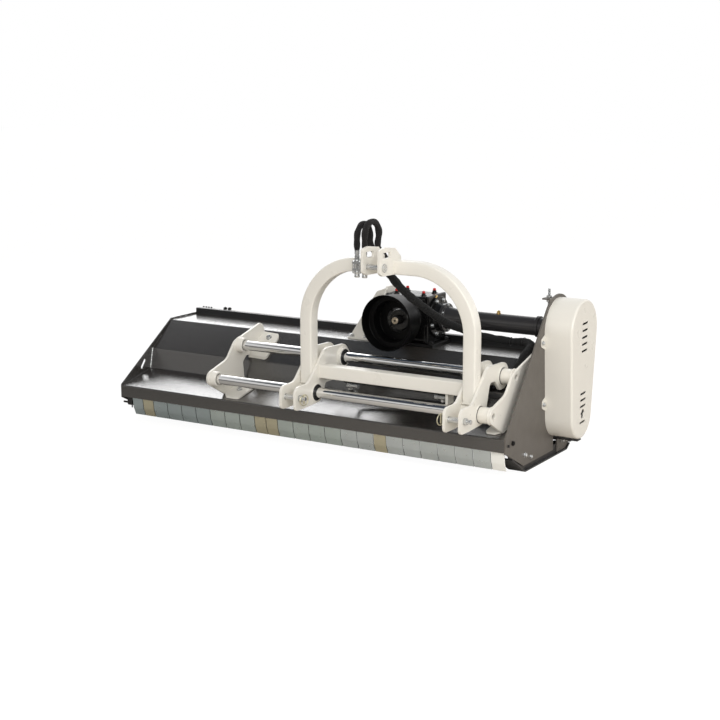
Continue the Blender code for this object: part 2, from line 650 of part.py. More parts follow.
def belt_cover(cream, parent):
    outer = belt_outline(COVER_TOP_R, COVER_FOOT_R, 0)
    inner = belt_outline(COVER_TOP_R, COVER_FOOT_R, -COVER_SHEET)
    cover = add_piece("belt_cover", prism(outer, COVER_X0, COVER_X1), cream, parent)
    for y, z in ((0.2885, 0.455), (0.3085, 0.221)):
        tab = rounded([(y + 0.040, z + 0.036, 0), (y - 0.010, z + 0.014, 0.008), (y - 0.010, z - 0.014, 0.008),
                       (y + 0.040, z - 0.036, 0)])
        weld(cover, prism(tab, COVER_X0, COVER_X0 + 0.003, holes=[circle(y, z, 0.005, 12)]))
    cut(cover, prism(inner, COVER_X0 - 0.01, COVER_X1 - COVER_SHEET))
    tilt = math.radians(12)
    openings = [slot(0.427, 0.517 - 0.0255 * k, 0.042, 0.0075, tilt) for k in range(5)]
    openings += [slot(0.4255, z, 0.042, 0.0075, tilt) for z in (0.254, 0.230, 0.206, 0.145)]
    openings.append(rounded([
        (0.414, 0.160, 0.004), (0.414, 0.176, 0.002), (0.404, 0.176, 0.001), (0.428, 0.197, 0.003),
        (0.443, 0.182, 0.001), (0.432, 0.177, 0.002), (0.430, 0.160, 0.004),
    ], step=math.radians(60)))
    cut(cover, *(prism(outline, COVER_X1 - 0.02, COVER_X1 + 0.02) for outline in openings))


def rotor(paint, parent):
    """A tube with rows of hammers; it is modelled about its own axis."""
    reach = INNER_HALF - 0.012
    spindle = add_piece("rotor", turned([
        (-reach - 0.026, 0), (-reach - 0.026, SHAFT_R), (-reach, SHAFT_R), (-reach, ROTOR_TUBE_R + 0.02),
        (-reach + 0.008, ROTOR_TUBE_R + 0.02), (-reach + 0.008, ROTOR_TUBE_R), (reach - 0.008, ROTOR_TUBE_R),
        (reach - 0.008, ROTOR_TUBE_R + 0.02), (reach, ROTOR_TUBE_R + 0.02), (reach, SHAFT_R),
        (PULLEY_X + PULLEY_WIDTH + 0.014, SHAFT_R), (PULLEY_X + PULLEY_WIDTH + 0.014, 0),
    ], (0, 0, 0), "X", 18), paint, parent)
    hammers, rows = 14, 4
    hammer = rounded([
        (-0.012, ROTOR_TUBE_R - 0.008, 0), (-0.010, 0.100, 0.006), (-0.016, HAMMER_REACH - 0.004, 0.004),
        (0.022, HAMMER_REACH - 0.002, 0.010), (0.014, 0.100, 0.010), (0.012, ROTOR_TUBE_R - 0.008, 0),
    ], step=math.radians(90))
    for k in range(hammers):
        x = -0.810 + 1.620 * (k + 0.5) / hammers
        shape = prism(hammer, x - 0.028, x + 0.028)
        shape.transform(Matrix.Rotation(math.tau * (k % rows) / rows + k * 0.09, 4, "X"))
        weld(spindle, shape)
    return spindle


def rear_roller(paint, arm_paint, fixed, parent):
    half = 0.845
    add_piece("rear_roller", turned([
        (-half - 0.022, 0), (-half - 0.022, 0.014), (-half, 0.014), (-half, ROLLER_R), (half, ROLLER_R),
        (half, 0.014), (half + 0.022, 0.014), (half + 0.022, 0),
    ], (0, 0, 0), "X", 32), paint, parent)
    arm = rounded([(0.610, 0.050, 0.020), (0.585, 0.150, 0.015), (0.600, 0.232, 0.010), (0.640, 0.232, 0.010),
                   (0.672, 0.150, 0.015), (0.694, 0.090, 0.020), (0.685, 0.045, 0.020)])
    for name, side in (("left_roller_arm", -1), ("right_roller_arm", 1)):
        span = sorted((side * (INNER_HALF - 0.010), side * INNER_HALF))
        add_piece(name, prism(arm, *span, holes=[circle(ROLLER_Y, ROLLER_Z, 0.0145)]), arm_paint, fixed)


def hitch_plate_outline(lug=False):
    """Ear for the lower link in front and lobes round both rods, cut open behind or closed by a lug."""
    back = [(0.016, 0.245, 0.030), (0.030, 0.2705, 0.010), (0.112, 0.2705, 0.020), (0.118, 0.301, 0)] if lug else [
        (0.016, 0.245, 0.040), (0.044, 0.342, 0.020), (0.084, 0.341, 0.014), (0.122, 0.301, 0.014)]
    return rounded([
        (-0.180, 0.286, 0.026), (-0.180, 0.199, 0.018), (-0.110, 0.199, 0.030), (-0.002, 0.205, 0.034),
        *back, (0.194, 0.301, 0.047), (0.194, 0.397, 0.047), (0.024, 0.402, 0.045), (-0.090, 0.288, 0.045),
    ], step=math.radians(36))


def hitch_clevises(cream, parent):
    """Two plates on two sleeves at each end of the carriage, bored through for the rods."""
    for name, side in (("left_hitch_clevis", -1), ("right_hitch_clevis", 1)):
        middle = side * HITCH_SPREAD / 2
        left, right = middle - EAR_GAP / 2 - EAR, middle + EAR_GAP / 2
        pin_hole = circle(HITCH_PIN_Y, HITCH_PIN_Z, HITCH_PIN_R + 2 * GAP, 12)
        piece = add_piece(
            name, prism(hitch_plate_outline(), left, left + EAR, holes=[pin_hole]), cream, parent
        )
        weld(piece, prism(hitch_plate_outline(lug=side < 0), right, right + EAR, holes=[pin_hole]))
        overhang = 0.013 if side < 0 else 0.002
        for y, z, extra in ((LOWER_ROD_Y, LOWER_ROD_Z, 0.002), (UPPER_ROD_Y, UPPER_ROD_Z, overhang)):
            weld(piece, post(left - 0.002, right + EAR + extra, SLEEVE_R, (0, y, z)))
        cut(piece, *(
            post(left - 0.02, right + EAR + 0.04, SLEEVE_BORE, (0, y, z))
            for y, z in ((LOWER_ROD_Y, LOWER_ROD_Z), (UPPER_ROD_Y, UPPER_ROD_Z))
        ))


def mast(cream, parent):
    """A square tube bent to an arch, with the two top link ears on its crown."""
    half, r = HITCH_SPREAD / 2, MAST_BEND_R
    foot = LOWER_ROD_Z + SLEEVE_R + GAP
    path = [(-half, foot)]
    for cx, start in ((-half + r, math.pi), (half - r, math.pi / 2)):
        for k in range(9):
            a = start - math.pi / 2 * k / 8
            path.append((cx + r * math.cos(a), MAST_TOP_Z - r + r * math.sin(a)))
    path.append((half, foot))
    section = [(-0.5, -0.4), (-0.5, 0.4), (-0.4, 0.5), (0.4, 0.5), (0.5, 0.4), (0.5, -0.4), (0.4, -0.5),
               (-0.4, -0.5)]
    shape = bmesh.new()
    loops = []
    for k, point in enumerate(path):
        run = Vector(path[min(k + 1, len(path) - 1)]) - Vector(path[max(k - 1, 0)])
        run.normalize()
        across = Vector((-run.y, run.x))
        loops.append([
            shape.verts.new((point[0] + across.x * u * MAST_TUBE, MAST_Y + v * MAST_TUBE,
                             point[1] + across.y * u * MAST_TUBE))
            for u, v in section
        ])
    for low, high in zip(loops, loops[1:]):
        for k in range(len(section)):
            shape.faces.new((low[k - 1], low[k], high[k], high[k - 1]))
    shape.faces.new(loops[0])
    shape.faces.new(loops[-1][::-1])
    arch = add_piece("mast_arch", mesh_of(shape, "arch"), cream, parent)

    ear = rounded([
        (-0.157, 0.731, 0.010), (-0.157, 0.813, 0.008), (-0.118, 0.820, 0.030), (-0.047, 0.811, 0.008),
        (-0.004, 0.776, 0.010), (-0.010, 0.745, 0.006), (-0.044, 0.745, 0), (-0.048, 0.7165, 0.006),
        (-0.135, 0.7185, 0.030),
    ])
    window = rounded([(-0.130, 0.780, 0.004), (-0.138, 0.801, 0.004), (-0.082, 0.801, 0.008), (-0.080, 0.780, 0.006)])
    pin_hole = circle(TOP_PIN_Y, TOP_PIN_Z, TOP_PIN_R + 2 * GAP, 12)
    for x in (-TOP_EAR_GAP / 2 - EAR, TOP_EAR_GAP / 2):
        weld(arch, prism(ear, x, x + EAR, holes=[window, pin_hole]))

    inner = half - EAR_GAP / 2 - EAR - GAP
    outline = rounded([
        (CROSS_TUBE_Y - 0.025, CROSS_TUBE_Z - 0.025, 0.004), (CROSS_TUBE_Y - 0.025, CROSS_TUBE_Z + 0.025, 0.004),
        (CROSS_TUBE_Y + 0.025, CROSS_TUBE_Z + 0.025, 0.004), (CROSS_TUBE_Y + 0.025, CROSS_TUBE_Z - 0.025, 0.004),
    ], step=math.radians(45))
    tube = add_piece("cross_tube", prism(outline, -inner, inner), cream, parent)
    lug = rounded([(-0.002, 0.252, 0.006), (-0.002, 0.300, 0), (0.026, 0.300, 0), (0.046, 0.290, 0.006),
                   (0.046, 0.252, 0.006)])
    weld(tube, prism(lug, 0.634 - CARRIAGE_X, 0.644 - CARRIAGE_X))


def hitch_pins(zinc, parent):
    for name, x in (("left_hitch_pin", -HITCH_SPREAD / 2), ("right_hitch_pin", HITCH_SPREAD / 2)):
        reach = EAR_GAP / 2 + EAR
        head = reach + GAP
        add_piece(name, turned([
            (x - head - 0.007, 0), (x - head - 0.007, 0.014), (x - head, 0.014), (x - head, HITCH_PIN_R),
            (x + head, HITCH_PIN_R), (x + head, 0.0165), (x + head + 0.010, 0.0165),
            (x + head + 0.010, 0.0085), (x + head + 0.026, 0.0085), (x + head + 0.026, 0),
        ], (0, HITCH_PIN_Y, HITCH_PIN_Z), "X", 14), zinc, parent)
    head = TOP_EAR_GAP / 2 + EAR + GAP
    add_piece("top_link_pin", turned([
        (-head - 0.014, 0), (-head - 0.014, 0.0065), (-head - 0.002, 0.0065), (-head, TOP_PIN_R),
        (head, TOP_PIN_R), (head, 0.0155), (head + 0.004, 0.0155), (head + 0.004, 0),
    ], (0, TOP_PIN_Y, TOP_PIN_Z), "X", 14), zinc, parent)


def hoses(black, fixed, moving):
    """Hoses parked on the mast, and the sleeve that takes them down to the side-shift cylinder."""
    y, near, far = -0.0715, 0.307 - CARRIAGE_X, 0.339 - CARRIAGE_X
    holder = add_piece("hose_loops", block((near - 0.014, y - 0.014, 0.702), (far + 0.014, y + 0.0152, 0.748), 0.003),
                       black, moving)
    for x in (near, far):
        weld(holder, turned([(0.690, 0), (0.690, 0.0100), (0.762, 0.0110), (0.768, 0.0085), (0.790, 0.0085),
                             (0.790, 0)], (x, y, 0), "Z", 10))
    mouth, after = (Vector(point) - Vector((CARRIAGE_X, 0, 0)) for point in SLEEVE_ROUTE[:2])
    heading = (mouth - after).normalized()
    across = Vector((0, 1, 0)).cross(heading) * -0.0088
    for x, side, back, top in ((near, -1, 0.040, 0.8855), (far, 1, 0.047, 0.8985)):
        middle, reach = (y + back) / 2, (back - y) / 2
        route = [Vector((x, y, 0.788))]
        for degrees in range(180, -1, -30):
            a = math.radians(degrees)
            route.append(Vector((x, middle + reach * math.cos(a), top - reach + reach * math.sin(a))))
        end = mouth + heading * 0.0006 - across * side
        route += [Vector((x - 0.004 * side, back, 0.800)), end + heading * 0.030, end]
        weld(holder, tube_mesh(smooth_route(route, 0.026), 0.0085, 8))
    hose("hose_sleeve", SLEEVE_ROUTE, SLEEVE_HOSE_R, black, fixed)


def cylinder_hoses(rubber, fixed):
    """Two hoses from a collar at the sleeve's end, over the wall and along the deck to the ports."""
    mouth, before = Vector(SLEEVE_ROUTE[-1]), Vector(SLEEVE_ROUTE[-2])
    heading = (mouth - before).normalized()
    collar = tube_mesh([mouth + heading * 0.0015, mouth + heading * 0.016], 0.0165, 12)
    piece = add_piece("cylinder_hoses", collar, rubber, fixed)
    start = mouth + heading * 0.008
    for port, side in ((BARREL_X0 + 0.022, 1), (BARREL_X1 - 0.030, -1)):
        route = [
            start + Vector((0, 0.0075 * side, 0)), mouth + heading * 0.030 + Vector((0, 0.008 * side, 0)),
            (0.7200, 0.204 + 0.008 * side, 0.301), (0.6950, 0.178 + 0.008 * side, 0.268 - 0.006 * side),
            (0.6500, 0.148 + 0.008 * side, 0.230 - 0.006 * side),
            (port + 0.060, 0.118 + 0.006 * side, 0.214), (port + 0.018, 0.094, 0.222),
            (port, CYLINDER_Y, 0.238), (port, CYLINDER_Y, CYLINDER_Z - 0.036 - GAP),
        ]
        weld(piece, tube_mesh(smooth_route(route, 0.034), 0.0075, 6))


def tube_mesh(path, radius, sides):
    """A capped tube along a path, as a mesh whose rings keep one turn to the next."""
    shape = bmesh.new()
    loops = []
    side = Vector((1, 0, 0))
    for k, point in enumerate(path):
        run = (path[min(k + 1, len(path) - 1)] - path[max(k - 1, 0)]).normalized()
        side = (side - run * side.dot(run)).normalized()
        other = run.cross(side)
        loops.append([
            shape.verts.new(point + radius * (side * math.cos(a) + other * math.sin(a)))
            for a in (math.tau * n / sides for n in range(sides))
        ])
    for low, high in zip(loops, loops[1:]):
        for k in range(sides):
            shape.faces.new((low[k - 1], low[k], high[k], high[k - 1]))
    shape.faces.new(loops[0])
    shape.faces.new(loops[-1][::-1])
    return mesh_of(shape, "tube")


def empty(name, location, parent=None):
    holder = bpy.data.objects.new(name, None)
    bpy.context.collection.objects.link(holder)
    holder.location = location
    holder.parent = parent
    return holder


def stand_on_origin(frame):
    """Moves the whole machine so that the origin is under the middle of its bounding box."""
    bpy.context.view_layer.update()
    low, high = Vector((math.inf,) * 3), Vector((-math.inf,) * 3)
    for piece in bpy.data.objects:
        if piece.type != "MESH" or piece.hide_render or piece.name in HOSES:
            continue
        for vertex in piece.data.vertices:
            point = piece.matrix_world @ vertex.co
            low = Vector(map(min, low, point))
            high = Vector(map(max, high, point))
    frame.location = (-(low.x + high.x) / 2, -(low.y + high.y) / 2, 0)


HOSES = ("hose_sleeve", "hose_loops")


def build():
    clear_scene()
    cream = finish("cream_paint", CREAM, 0.35)
    dark = finish("dark_grey_paint", DARK_GREY, 0.40)
    taupe = finish("taupe_paint", TAUPE, 0.42)
    black = finish("black_paint", BLACK, 0.35)
    plastic = finish("black_plastic", BLACK, 0.45)
    chrome = finish("chromed_steel", STEEL, 0.12, 1.0)
    steel = finish("plain_steel", STEEL, 0.40, 1.0)
    zinc = finish("zinc_plate", ZINC, 0.38, 0.9)
    rubber = finish("belt_rubber", BLACK, 0.80)
    sleeve = finish("hose_textile", BLACK, 0.90)

    frame = empty("machine", (0, 0, 0))
    carriage = empty("carriage", (CARRIAGE_X, 0, 0), frame)
    rotor_axis = empty("rotor_axis", (0, ROTOR_Y, ROTOR_Z), frame)
    drive_axis = empty("drive_axis", (0, DRIVE_Y, DRIVE_Z), frame)
    input_axis = empty("input_axis", (INPUT_X, 0.287, DRIVE_Z), frame)
    roller_axis = empty("roller_axis", (0, ROLLER_Y, ROLLER_Z), frame)

    hood(dark, frame)
    side_plates(dark, taupe, frame)
    skids(black, frame)
    front_flaps(zinc, frame)
    slide_brackets(cream, frame)
    slide_rods(chrome, frame)
    gearbox(cream, black, steel, plastic, frame, input_axis)
    drive_line(black, steel, rubber, frame, drive_axis, rotor_axis)
    drive_belt(rubber, frame)
    belt_cover(cream, frame)
    rotor(black, rotor_axis)
    rear_roller(black, dark, frame, roller_axis)
    hitch_clevises(cream, carriage)
    mast(cream, carriage)
    hitch_pins(zinc, carriage)
    cylinder(black, chrome, frame, carriage)
    hoses(sleeve, frame, carriage)
    cylinder_hoses(rubber, frame)
    stand_on_origin(frame)


build()
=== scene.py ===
"""Looks of the tractor mulcher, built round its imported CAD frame.

Lengths are in millimetres and places are in the part's own layout, with X = 0 midway between the side
plates, Y = 0 at the lip's front face and Z from the ground. at() turns them into the frame's metres.
"""

from math import asin, atan2, ceil, cos, degrees, exp, pi, radians, sin, tan, tau

import bmesh
import bpy
from mathutils import Euler, Matrix, Vector


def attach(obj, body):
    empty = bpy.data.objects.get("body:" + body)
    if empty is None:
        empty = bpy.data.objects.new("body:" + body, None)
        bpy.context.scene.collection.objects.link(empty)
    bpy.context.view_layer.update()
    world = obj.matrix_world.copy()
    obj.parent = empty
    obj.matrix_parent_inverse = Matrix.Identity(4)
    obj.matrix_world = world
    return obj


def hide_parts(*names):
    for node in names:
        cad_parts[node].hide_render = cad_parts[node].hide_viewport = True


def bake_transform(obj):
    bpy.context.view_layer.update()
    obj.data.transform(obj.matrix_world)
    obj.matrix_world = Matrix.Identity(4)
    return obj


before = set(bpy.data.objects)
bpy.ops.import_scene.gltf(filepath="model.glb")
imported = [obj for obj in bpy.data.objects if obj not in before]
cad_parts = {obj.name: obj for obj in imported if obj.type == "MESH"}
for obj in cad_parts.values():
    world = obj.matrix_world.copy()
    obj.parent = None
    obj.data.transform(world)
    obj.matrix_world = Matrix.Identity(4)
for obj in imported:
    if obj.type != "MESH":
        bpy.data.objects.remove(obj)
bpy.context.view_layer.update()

MM = 0.001
LAYOUT = Vector((-0.0475, -0.27728, 0.0))
AXES = {"X": Vector((1, 0, 0)), "Y": Vector((0, 1, 0)), "Z": Vector((0, 0, 1))}
QUARTER = pi / 2
FACING = {"X": (0, QUARTER, 0), "-X": (0, -QUARTER, 0), "-Y": (QUARTER, 0, 0), "Z": (0, 0, 0), "-Z": (pi, 0, 0)}
SQUARE = ((-1, -1), (1, -1), (1, 1), (-1, 1))
edit = bpy.ops.mesh


def at(x, y, z):
    return Vector((x * MM, y * MM, z * MM)) + LAYOUT


def spot(u, v, depth, axis):
    """A point of an outline drawn in Y and Z, X and Z, or X and Y."""
    return at(*{"X": (depth, u, v), "Y": (u, depth, v), "Z": (u, v, depth)}[axis])


def around(count, radius, start=0):
    """Points spaced evenly round a circle; the start is a share of the space between two."""
    return [(radius * cos(a), radius * sin(a)) for a in (tau * (k + start) / count for k in range(count))]


def rows(text):
    """A table of numbers, its rows parted by commas."""
    return [tuple(map(float, row.split())) for row in text.split(",")]


# Camera

bpy.ops.object.camera_add(location=at(3056.5, -4573.25, 1467.9), rotation=(radians(78.5), 0, radians(31.3)))
camera = bpy.context.object
camera.data.lens = 74.05
camera.data.sensor_width = 36
bpy.context.scene.camera = camera


# Shaping

def deselect():
    bpy.ops.object.select_all(action="DESELECT")


def take(piece):
    deselect()
    piece.select_set(True)
    bpy.context.view_layer.objects.active = piece
    return piece


def reshape():
    bpy.ops.object.mode_set(mode="EDIT")


def settle():
    """Leaves edit mode and puts the piece's place into its mesh."""
    bpy.ops.object.mode_set(mode="OBJECT")
    bpy.ops.object.transform_apply(location=True, rotation=True, scale=True)
    return bpy.context.object


def choose(piece, test, kind="FACE"):
    """Selects just the faces or edges that pass the test; edit mode is open."""
    edit.select_mode(type=kind)
    edit.select_all(action="DESELECT")
    shape = bmesh.from_edit_mesh(piece.data)
    for item in {"FACE": shape.faces, "EDGE": shape.edges}[kind]:
        if test(item):
            item.select_set(True)
    shape.select_flush_mode()
    bmesh.update_edit_mesh(piece.data)


def pull(x, y, z):
    edit.extrude_region_move(TRANSFORM_OT_translate={"value": (x * MM, y * MM, z * MM)})


def face_outward(merge=None):
    edit.select_all(action="SELECT")
    if merge:
        edit.remove_doubles(threshold=merge)
    edit.normals_make_consistent(inside=False)


def trace(points):
    """A line drawn point by point. Edit mode stays open, with all of it selected."""
    deselect()
    edit.primitive_plane_add(size=0.002, location=points[0])
    reshape()
    edit.select_mode(type="VERT")
    edit.merge(type="CENTER")
    for here, there in zip(points, points[1:]):
        edit.extrude_vertices_move(TRANSFORM_OT_translate={"value": there - here})
    edit.select_all(action="SELECT")


def outline(corners, step=12):
    """A closed outline from (u, v, radius) corners, each radius turned into a tangent arc."""
    points = []
    for i, (u, v, radius) in enumerate(corners):
        here = Vector((u, v))
        before = (Vector(corners[i - 1][:2]) - here).normalized()
        after = (Vector(corners[(i + 1) % len(corners)][:2]) - here).normalized()
        if radius <= 0:
            points.append(here)
            continue
        half = before.angle(after) / 2
        centre = here + (before + after).normalized() * (radius / sin(half))
        start = here + before * (radius / tan(half)) - centre
        turn = start.angle_signed(here + after * (radius / tan(half)) - centre)
        count = max(2, ceil(abs(degrees(turn)) / step - 0.01))
        points += [centre + Matrix.Rotation(-turn * k / count, 2) @ start for k in range(count + 1)]
    return [tuple(p) for k, p in enumerate(points) if (p - points[k - 1]).length > 0.01]


def slot(u, v, length, width, tilt):
    """A slot's outline; the tilt is its long side's angle, in degrees."""
    tilt = radians(tilt)
    along = Vector((cos(tilt), sin(tilt))) * (length - width) / 2
    points = []
    for end, start in ((1, tilt - QUARTER), (-1, tilt + QUARTER)):
        for k in range(9):
            angle = start + pi * k / 8
            points.append((u + end * along.x + width / 2 * cos(angle),
                           v + end * along.y + width / 2 * sin(angle)))
    return points


def modify(piece, kind, **settings):
    """Adds a modifier and applies it."""
    take(piece)
    change = piece.modifiers.new(kind, kind)
    for key, value in settings.items():
        setattr(change, key, value)
    bpy.ops.object.modifier_apply(modifier=change.name)
    return piece


def soften(piece, width=1, segments=2, angle=35):
    """Rounds the sharp edges and smooths across them, leaving the faces flat."""
    take(piece)
    bpy.ops.object.shade_smooth()
    return modify(piece, "BEVEL", width=width * MM, segments=segments, angle_limit=radians(angle),
                  limit_method="ANGLE", harden_normals=True, miter_outer="MITER_ARC")


def smooth(piece, angle=35):
    take(piece)
    bpy.ops.object.shade_smooth_by_angle(angle=radians(angle))
    return piece


def carve(piece, tool):
    modify(piece, "BOOLEAN", operation="DIFFERENCE", object=tool, solver="EXACT")
    bpy.data.objects.remove(tool)


def prism(line, start, end, axis="X"):
    """An outline made solid from start to end along the axis."""
    trace([spot(u, v, start, axis) for u, v in line])
    edit.edge_face_add()
    pull(*AXES[axis] * (end - start))
    face_outward()
    return settle()


def plate(corners, start, end, axis="X", edge=1, holes=(), step=12, segments=2):
    """Sheet cut to an outline, with its holes, its edges rounded."""
    piece = prism(outline(corners, step), start, end, axis)
    for hole in holes:
        if isinstance(hole[0], (int, float)):
            u, v, radius = hole
            hole = [(u + a, v + b) for a, b in around(32, radius)]
        carve(piece, prism(hole, min(start, end) - 10, max(start, end) + 10, axis))
    return soften(piece, edge, segments) if edge else piece


def turned(profile, centre, axis="X", steps=48, crease=32):
    """A profile of (along, radius) points spun round an axis through the centre."""
    across = AXES["X" if axis == "Z" else "Z"]
    trace([centre + AXES[axis] * (along * MM) + across * (radius * MM) for along, radius in profile])
    edit.spin(steps=steps, angle=tau, center=centre, axis=AXES[axis])
    face_outward(0.00002)
    return smooth(settle(), crease)


def rod(start, end, radius, centre, axis="X", steps=48, edge=1):
    cut = edge * 0.3
    return turned([
        (start, 0), (start, radius - edge), (start + cut, radius - cut), (start + edge, radius),
        (end - edge, radius), (end - cut, radius - cut), (end, radius - edge), (end, 0),
    ], centre, axis, steps)


def ring(start, end, outer, inner, centre, axis="X", steps=48, edge=0.6):
    return turned([
        (start, inner + edge), (start, outer - edge), (start + edge, outer), (end - edge, outer),
        (end, outer - edge), (end, inner + edge), (end - edge, inner), (start + edge, inner),
        (start, inner + edge),
    ], centre, axis, steps)


def block(low, high, edge=2, segments=3):
    deselect()
    low, high = at(*low), at(*high)
    edit.primitive_cube_add(size=1, location=(low + high) / 2, scale=high - low)
    return soften(settle(), edge, segments)


def join(*pieces):
    take(pieces[0])
    for piece in pieces:
        piece.select_set(True)
    if len(pieces) > 1:
        bpy.ops.object.join()
    return bpy.context.object


def shift(piece, way):
    piece.data.transform(Matrix.Translation(way))
    return piece


def aim(piece, place, heading):
    """Sets a piece made along Z at the origin down at a place, pointing along the heading."""
    piece.data.transform(Matrix.Translation(place) @ heading.to_track_quat("Z", "Y").to_matrix().to_4x4())
    return piece


def copy_of(pattern, placed):
    copy = pattern.copy()
    copy.data = pattern.data.copy()
    copy.data.transform(placed)
    bpy.context.scene.collection.objects.link(copy)
    return copy


def copies(pattern, table, facing="Z"):
    """Copies of a small part made at the origin, as one piece.

    A row is x, y, z and size, and its own turn if it doesn't face the way of the others.
    """
    return join(*(
        copy_of(pattern, Matrix.Translation(at(x, y, z)) @ Euler(*turn or [FACING[facing]]).to_matrix().to_4x4()
                @ Matrix.Scale(size, 4))
        for x, y, z, size, *turn in table
    ))


def smooth_route(points, spacing=6):
    """Points at about this spacing on a smooth curve through the route's own points."""
    padded = [2 * points[0] - points[1], *points, 2 * points[-1] - points[-2]]
    route = [points[0]]
    for a, b, c, d in zip(padded, padded[1:], padded[2:], padded[3:]):
        count = max(1, round((c - b).length / (spacing * MM)))
        for t in (k / count for k in range(1, count + 1)):
            route.append(0.5 * (
                2 * b + (c - a) * t + (2 * a - 5 * b + 4 * c - d) * t * t + (3 * b - a - 3 * c + d) * t ** 3))
    return route


def line_length(points):
    return sum((b - a).length for a, b in zip(points, points[1:]))


def tube(points, radius, swell=lambda k: 1, closed=False, resolution=5):
    """A tube along the points; swell gives each point's share of the radius."""
    curve = bpy.data.curves.new("tube", "CURVE")
    curve.dimensions, curve.bevel_depth, curve.bevel_resolution = "3D", radius * MM, resolution
    curve.use_fill_caps = not closed
    spline = curve.splines.new("POLY")
    spline.points.add(len(points) - 1)
    spline.use_cyclic_u = closed
    for k, (knot, point) in enumerate(zip(spline.points, points)):
        knot.co, knot.radius = (*point, 1), swell(k)
    piece = bpy.data.objects.new("tube", curve)
    bpy.context.scene.collection.objects.link(piece)
    take(piece)
    bpy.ops.object.convert(target="MESH")
    reshape()
    face_outward(0.00001)
    return smooth(settle(), 60)


def seam(points, radius=2.8, closed=False):
    """A welded seam: overlapping beads laid along the points."""
    if closed:
        points = [*points, points[0]]
    steps = []
    for a, b in zip(points, points[1:]):
        count = max(1, round((b - a).length / (radius * 0.8 * MM)))
        steps += [a.lerp(b, k / count) for k in range(count)]
    if not closed:
        steps.append(points[-1])
    sizes = (0.86, 1.0, 1.06, 0.97, 0.84, 1.04)
    return tube(steps, radius, lambda k: sizes[(k * 5 + k // 7) % 6], closed, 2)


def round_seam(x, y, z, radius, bead=2.8):
    count = max(8, round(radius * tau / 4))
    return seam([at(x, y + u, z + v) for u, v in around(count, radius)], bead, closed=True)


# Finishes

def knobs(material):
    return material.node_tree.nodes["Principled BSDF"].inputs


def tune(material, settings):
    for key, value in settings.items():
        knobs(material)[key].default_value = value


def finish(name, colour, roughness, metallic=0.0, coat=0.0, coat_roughness=0.12):
    """A surface whose colour and roughness the functions below then vary."""
    material = bpy.data.materials.new(name)
    material.use_nodes = True
    tune(material, {"Base Color": (*colour, 1), "Roughness": roughness, "Metallic": metallic,
                    "Coat Weight": coat, "Coat Roughness": coat_roughness})
    return material


def wire(material, start, end):
    material.node_tree.links.new(start, end)


def node(material, kind, inputs=(), **settings):
    """A shader node; each input named gets a value, or another node's output."""
    made = material.node_tree.nodes.new("ShaderNode" + kind)
    for key, value in settings.items():
        setattr(made, key, value)
    for key, value in dict(inputs).items():
        if isinstance(value, bpy.types.NodeSocket):
            wire(material, value, made.inputs[key])
        else:
            made.inputs[key].default_value = value
    return made


def grain(material, scale, stretch=(1, 1, 1), detail=3.0, kind="Noise"):
    """A pattern in the piece's own coordinates."""
    place = node(material, "TexCoord").outputs["Object"]
    turn = node(material, "Mapping", {"Scale": stretch, "Vector": place})
    pattern = node(material, "Tex" + kind, {"Scale": scale, "Vector": turn.outputs["Vector"]})
    if "Detail" in pattern.inputs:
        pattern.inputs["Detail"].default_value = detail
    return pattern.outputs["Fac" if kind == "Noise" else "Distance"]


def spread(material, source, low, high, start=0.3, end=0.7):
    """The pattern's values between start and end, laid out from low to high."""
    return node(material, "MapRange", {
        "Value": source, "From Min": start, "From Max": end, "To Min": low, "To Max": high}).outputs["Result"]


def shade(material, factor, other):
    """Lets another colour into the base colour by the factor."""
    base = knobs(material)["Base Color"]
    colour = base.links[0].from_socket if base.is_linked else base.default_value
    mix = node(material, "Mix", {"Factor": factor, 6: colour, 7: (*other, 1)}, data_type="RGBA")
    wire(material, mix.outputs[2], base)


def mottle(material, colour, amount, scale, start=0.3, end=0.7, **pattern):
    """Another colour let in where a pattern is strong."""
    shade(material, spread(material, grain(material, scale, **pattern), 0.0, amount, start, end), colour)


def roughen(material, low, high, scale, **pattern):
    wire(material, spread(material, grain(material, scale, **pattern), low, high), knobs(material)["Roughness"])


def emboss(material, depth, scale=None, height=None, **pattern):
    """Adds relief, to the clear coat too; the depth is in metres."""
    inputs = knobs(material)
    height = height or grain(material, scale, **pattern)
    bump = node(material, "Bump", {"Distance": depth, "Strength": 1.0, "Height": height})
    if inputs["Normal"].is_linked:
        wire(material, inputs["Normal"].links[0].from_socket, bump.inputs["Normal"])
    wire(material, bump.outputs["Normal"], inputs["Normal"])
    if inputs["Coat Weight"].default_value:
        wire(material, bump.outputs["Normal"], inputs["Coat Normal"])


def worn_edges(material, colour):
    """Paint rubbed thin along the edges, in patches."""
    edge = node(material, "Bevel", {"Radius": 0.0018}).outputs["Normal"]
    flat = node(material, "NewGeometry").outputs["Normal"]
    facing = node(material, "VectorMath", {0: edge, 1: flat}, operation="DOT_PRODUCT")
    near = spread(material, facing.outputs["Value"], 1.0, 0.0, 0.8, 0.985)
    patches = spread(material, grain(material, 70, detail=6), 0.0, 0.6, 0.42, 0.62)
    both = node(material, "Math", {0: near, 1: patches}, operation="MULTIPLY")
    shade(material, both.outputs["Value"], colour)


def painted(name, colour, cloud, roughness, peel=0.00012, rub=None, coat=0.0, coat_roughness=0.12, speck=0.0,
            tooth=420, gloss=0.5):
    """Powder coat: a little uneven in shade, with orange peel and a fine tooth."""
    paint = finish(name, colour, sum(roughness) / 2, coat=coat, coat_roughness=coat_roughness)
    mottle(paint, cloud, 0.55, 5, detail=4)
    if speck:
        mottle(paint, tuple(3.2 * c + 0.01 for c in colour), speck, 900, 0.56, 0.72, detail=1)
    roughen(paint, *roughness, 18, detail=5)
    emboss(paint, peel, tooth, detail=2)
    tune(paint, {"Specular IOR Level": gloss})
    if rub:
        worn_edges(paint, rub)
    return paint


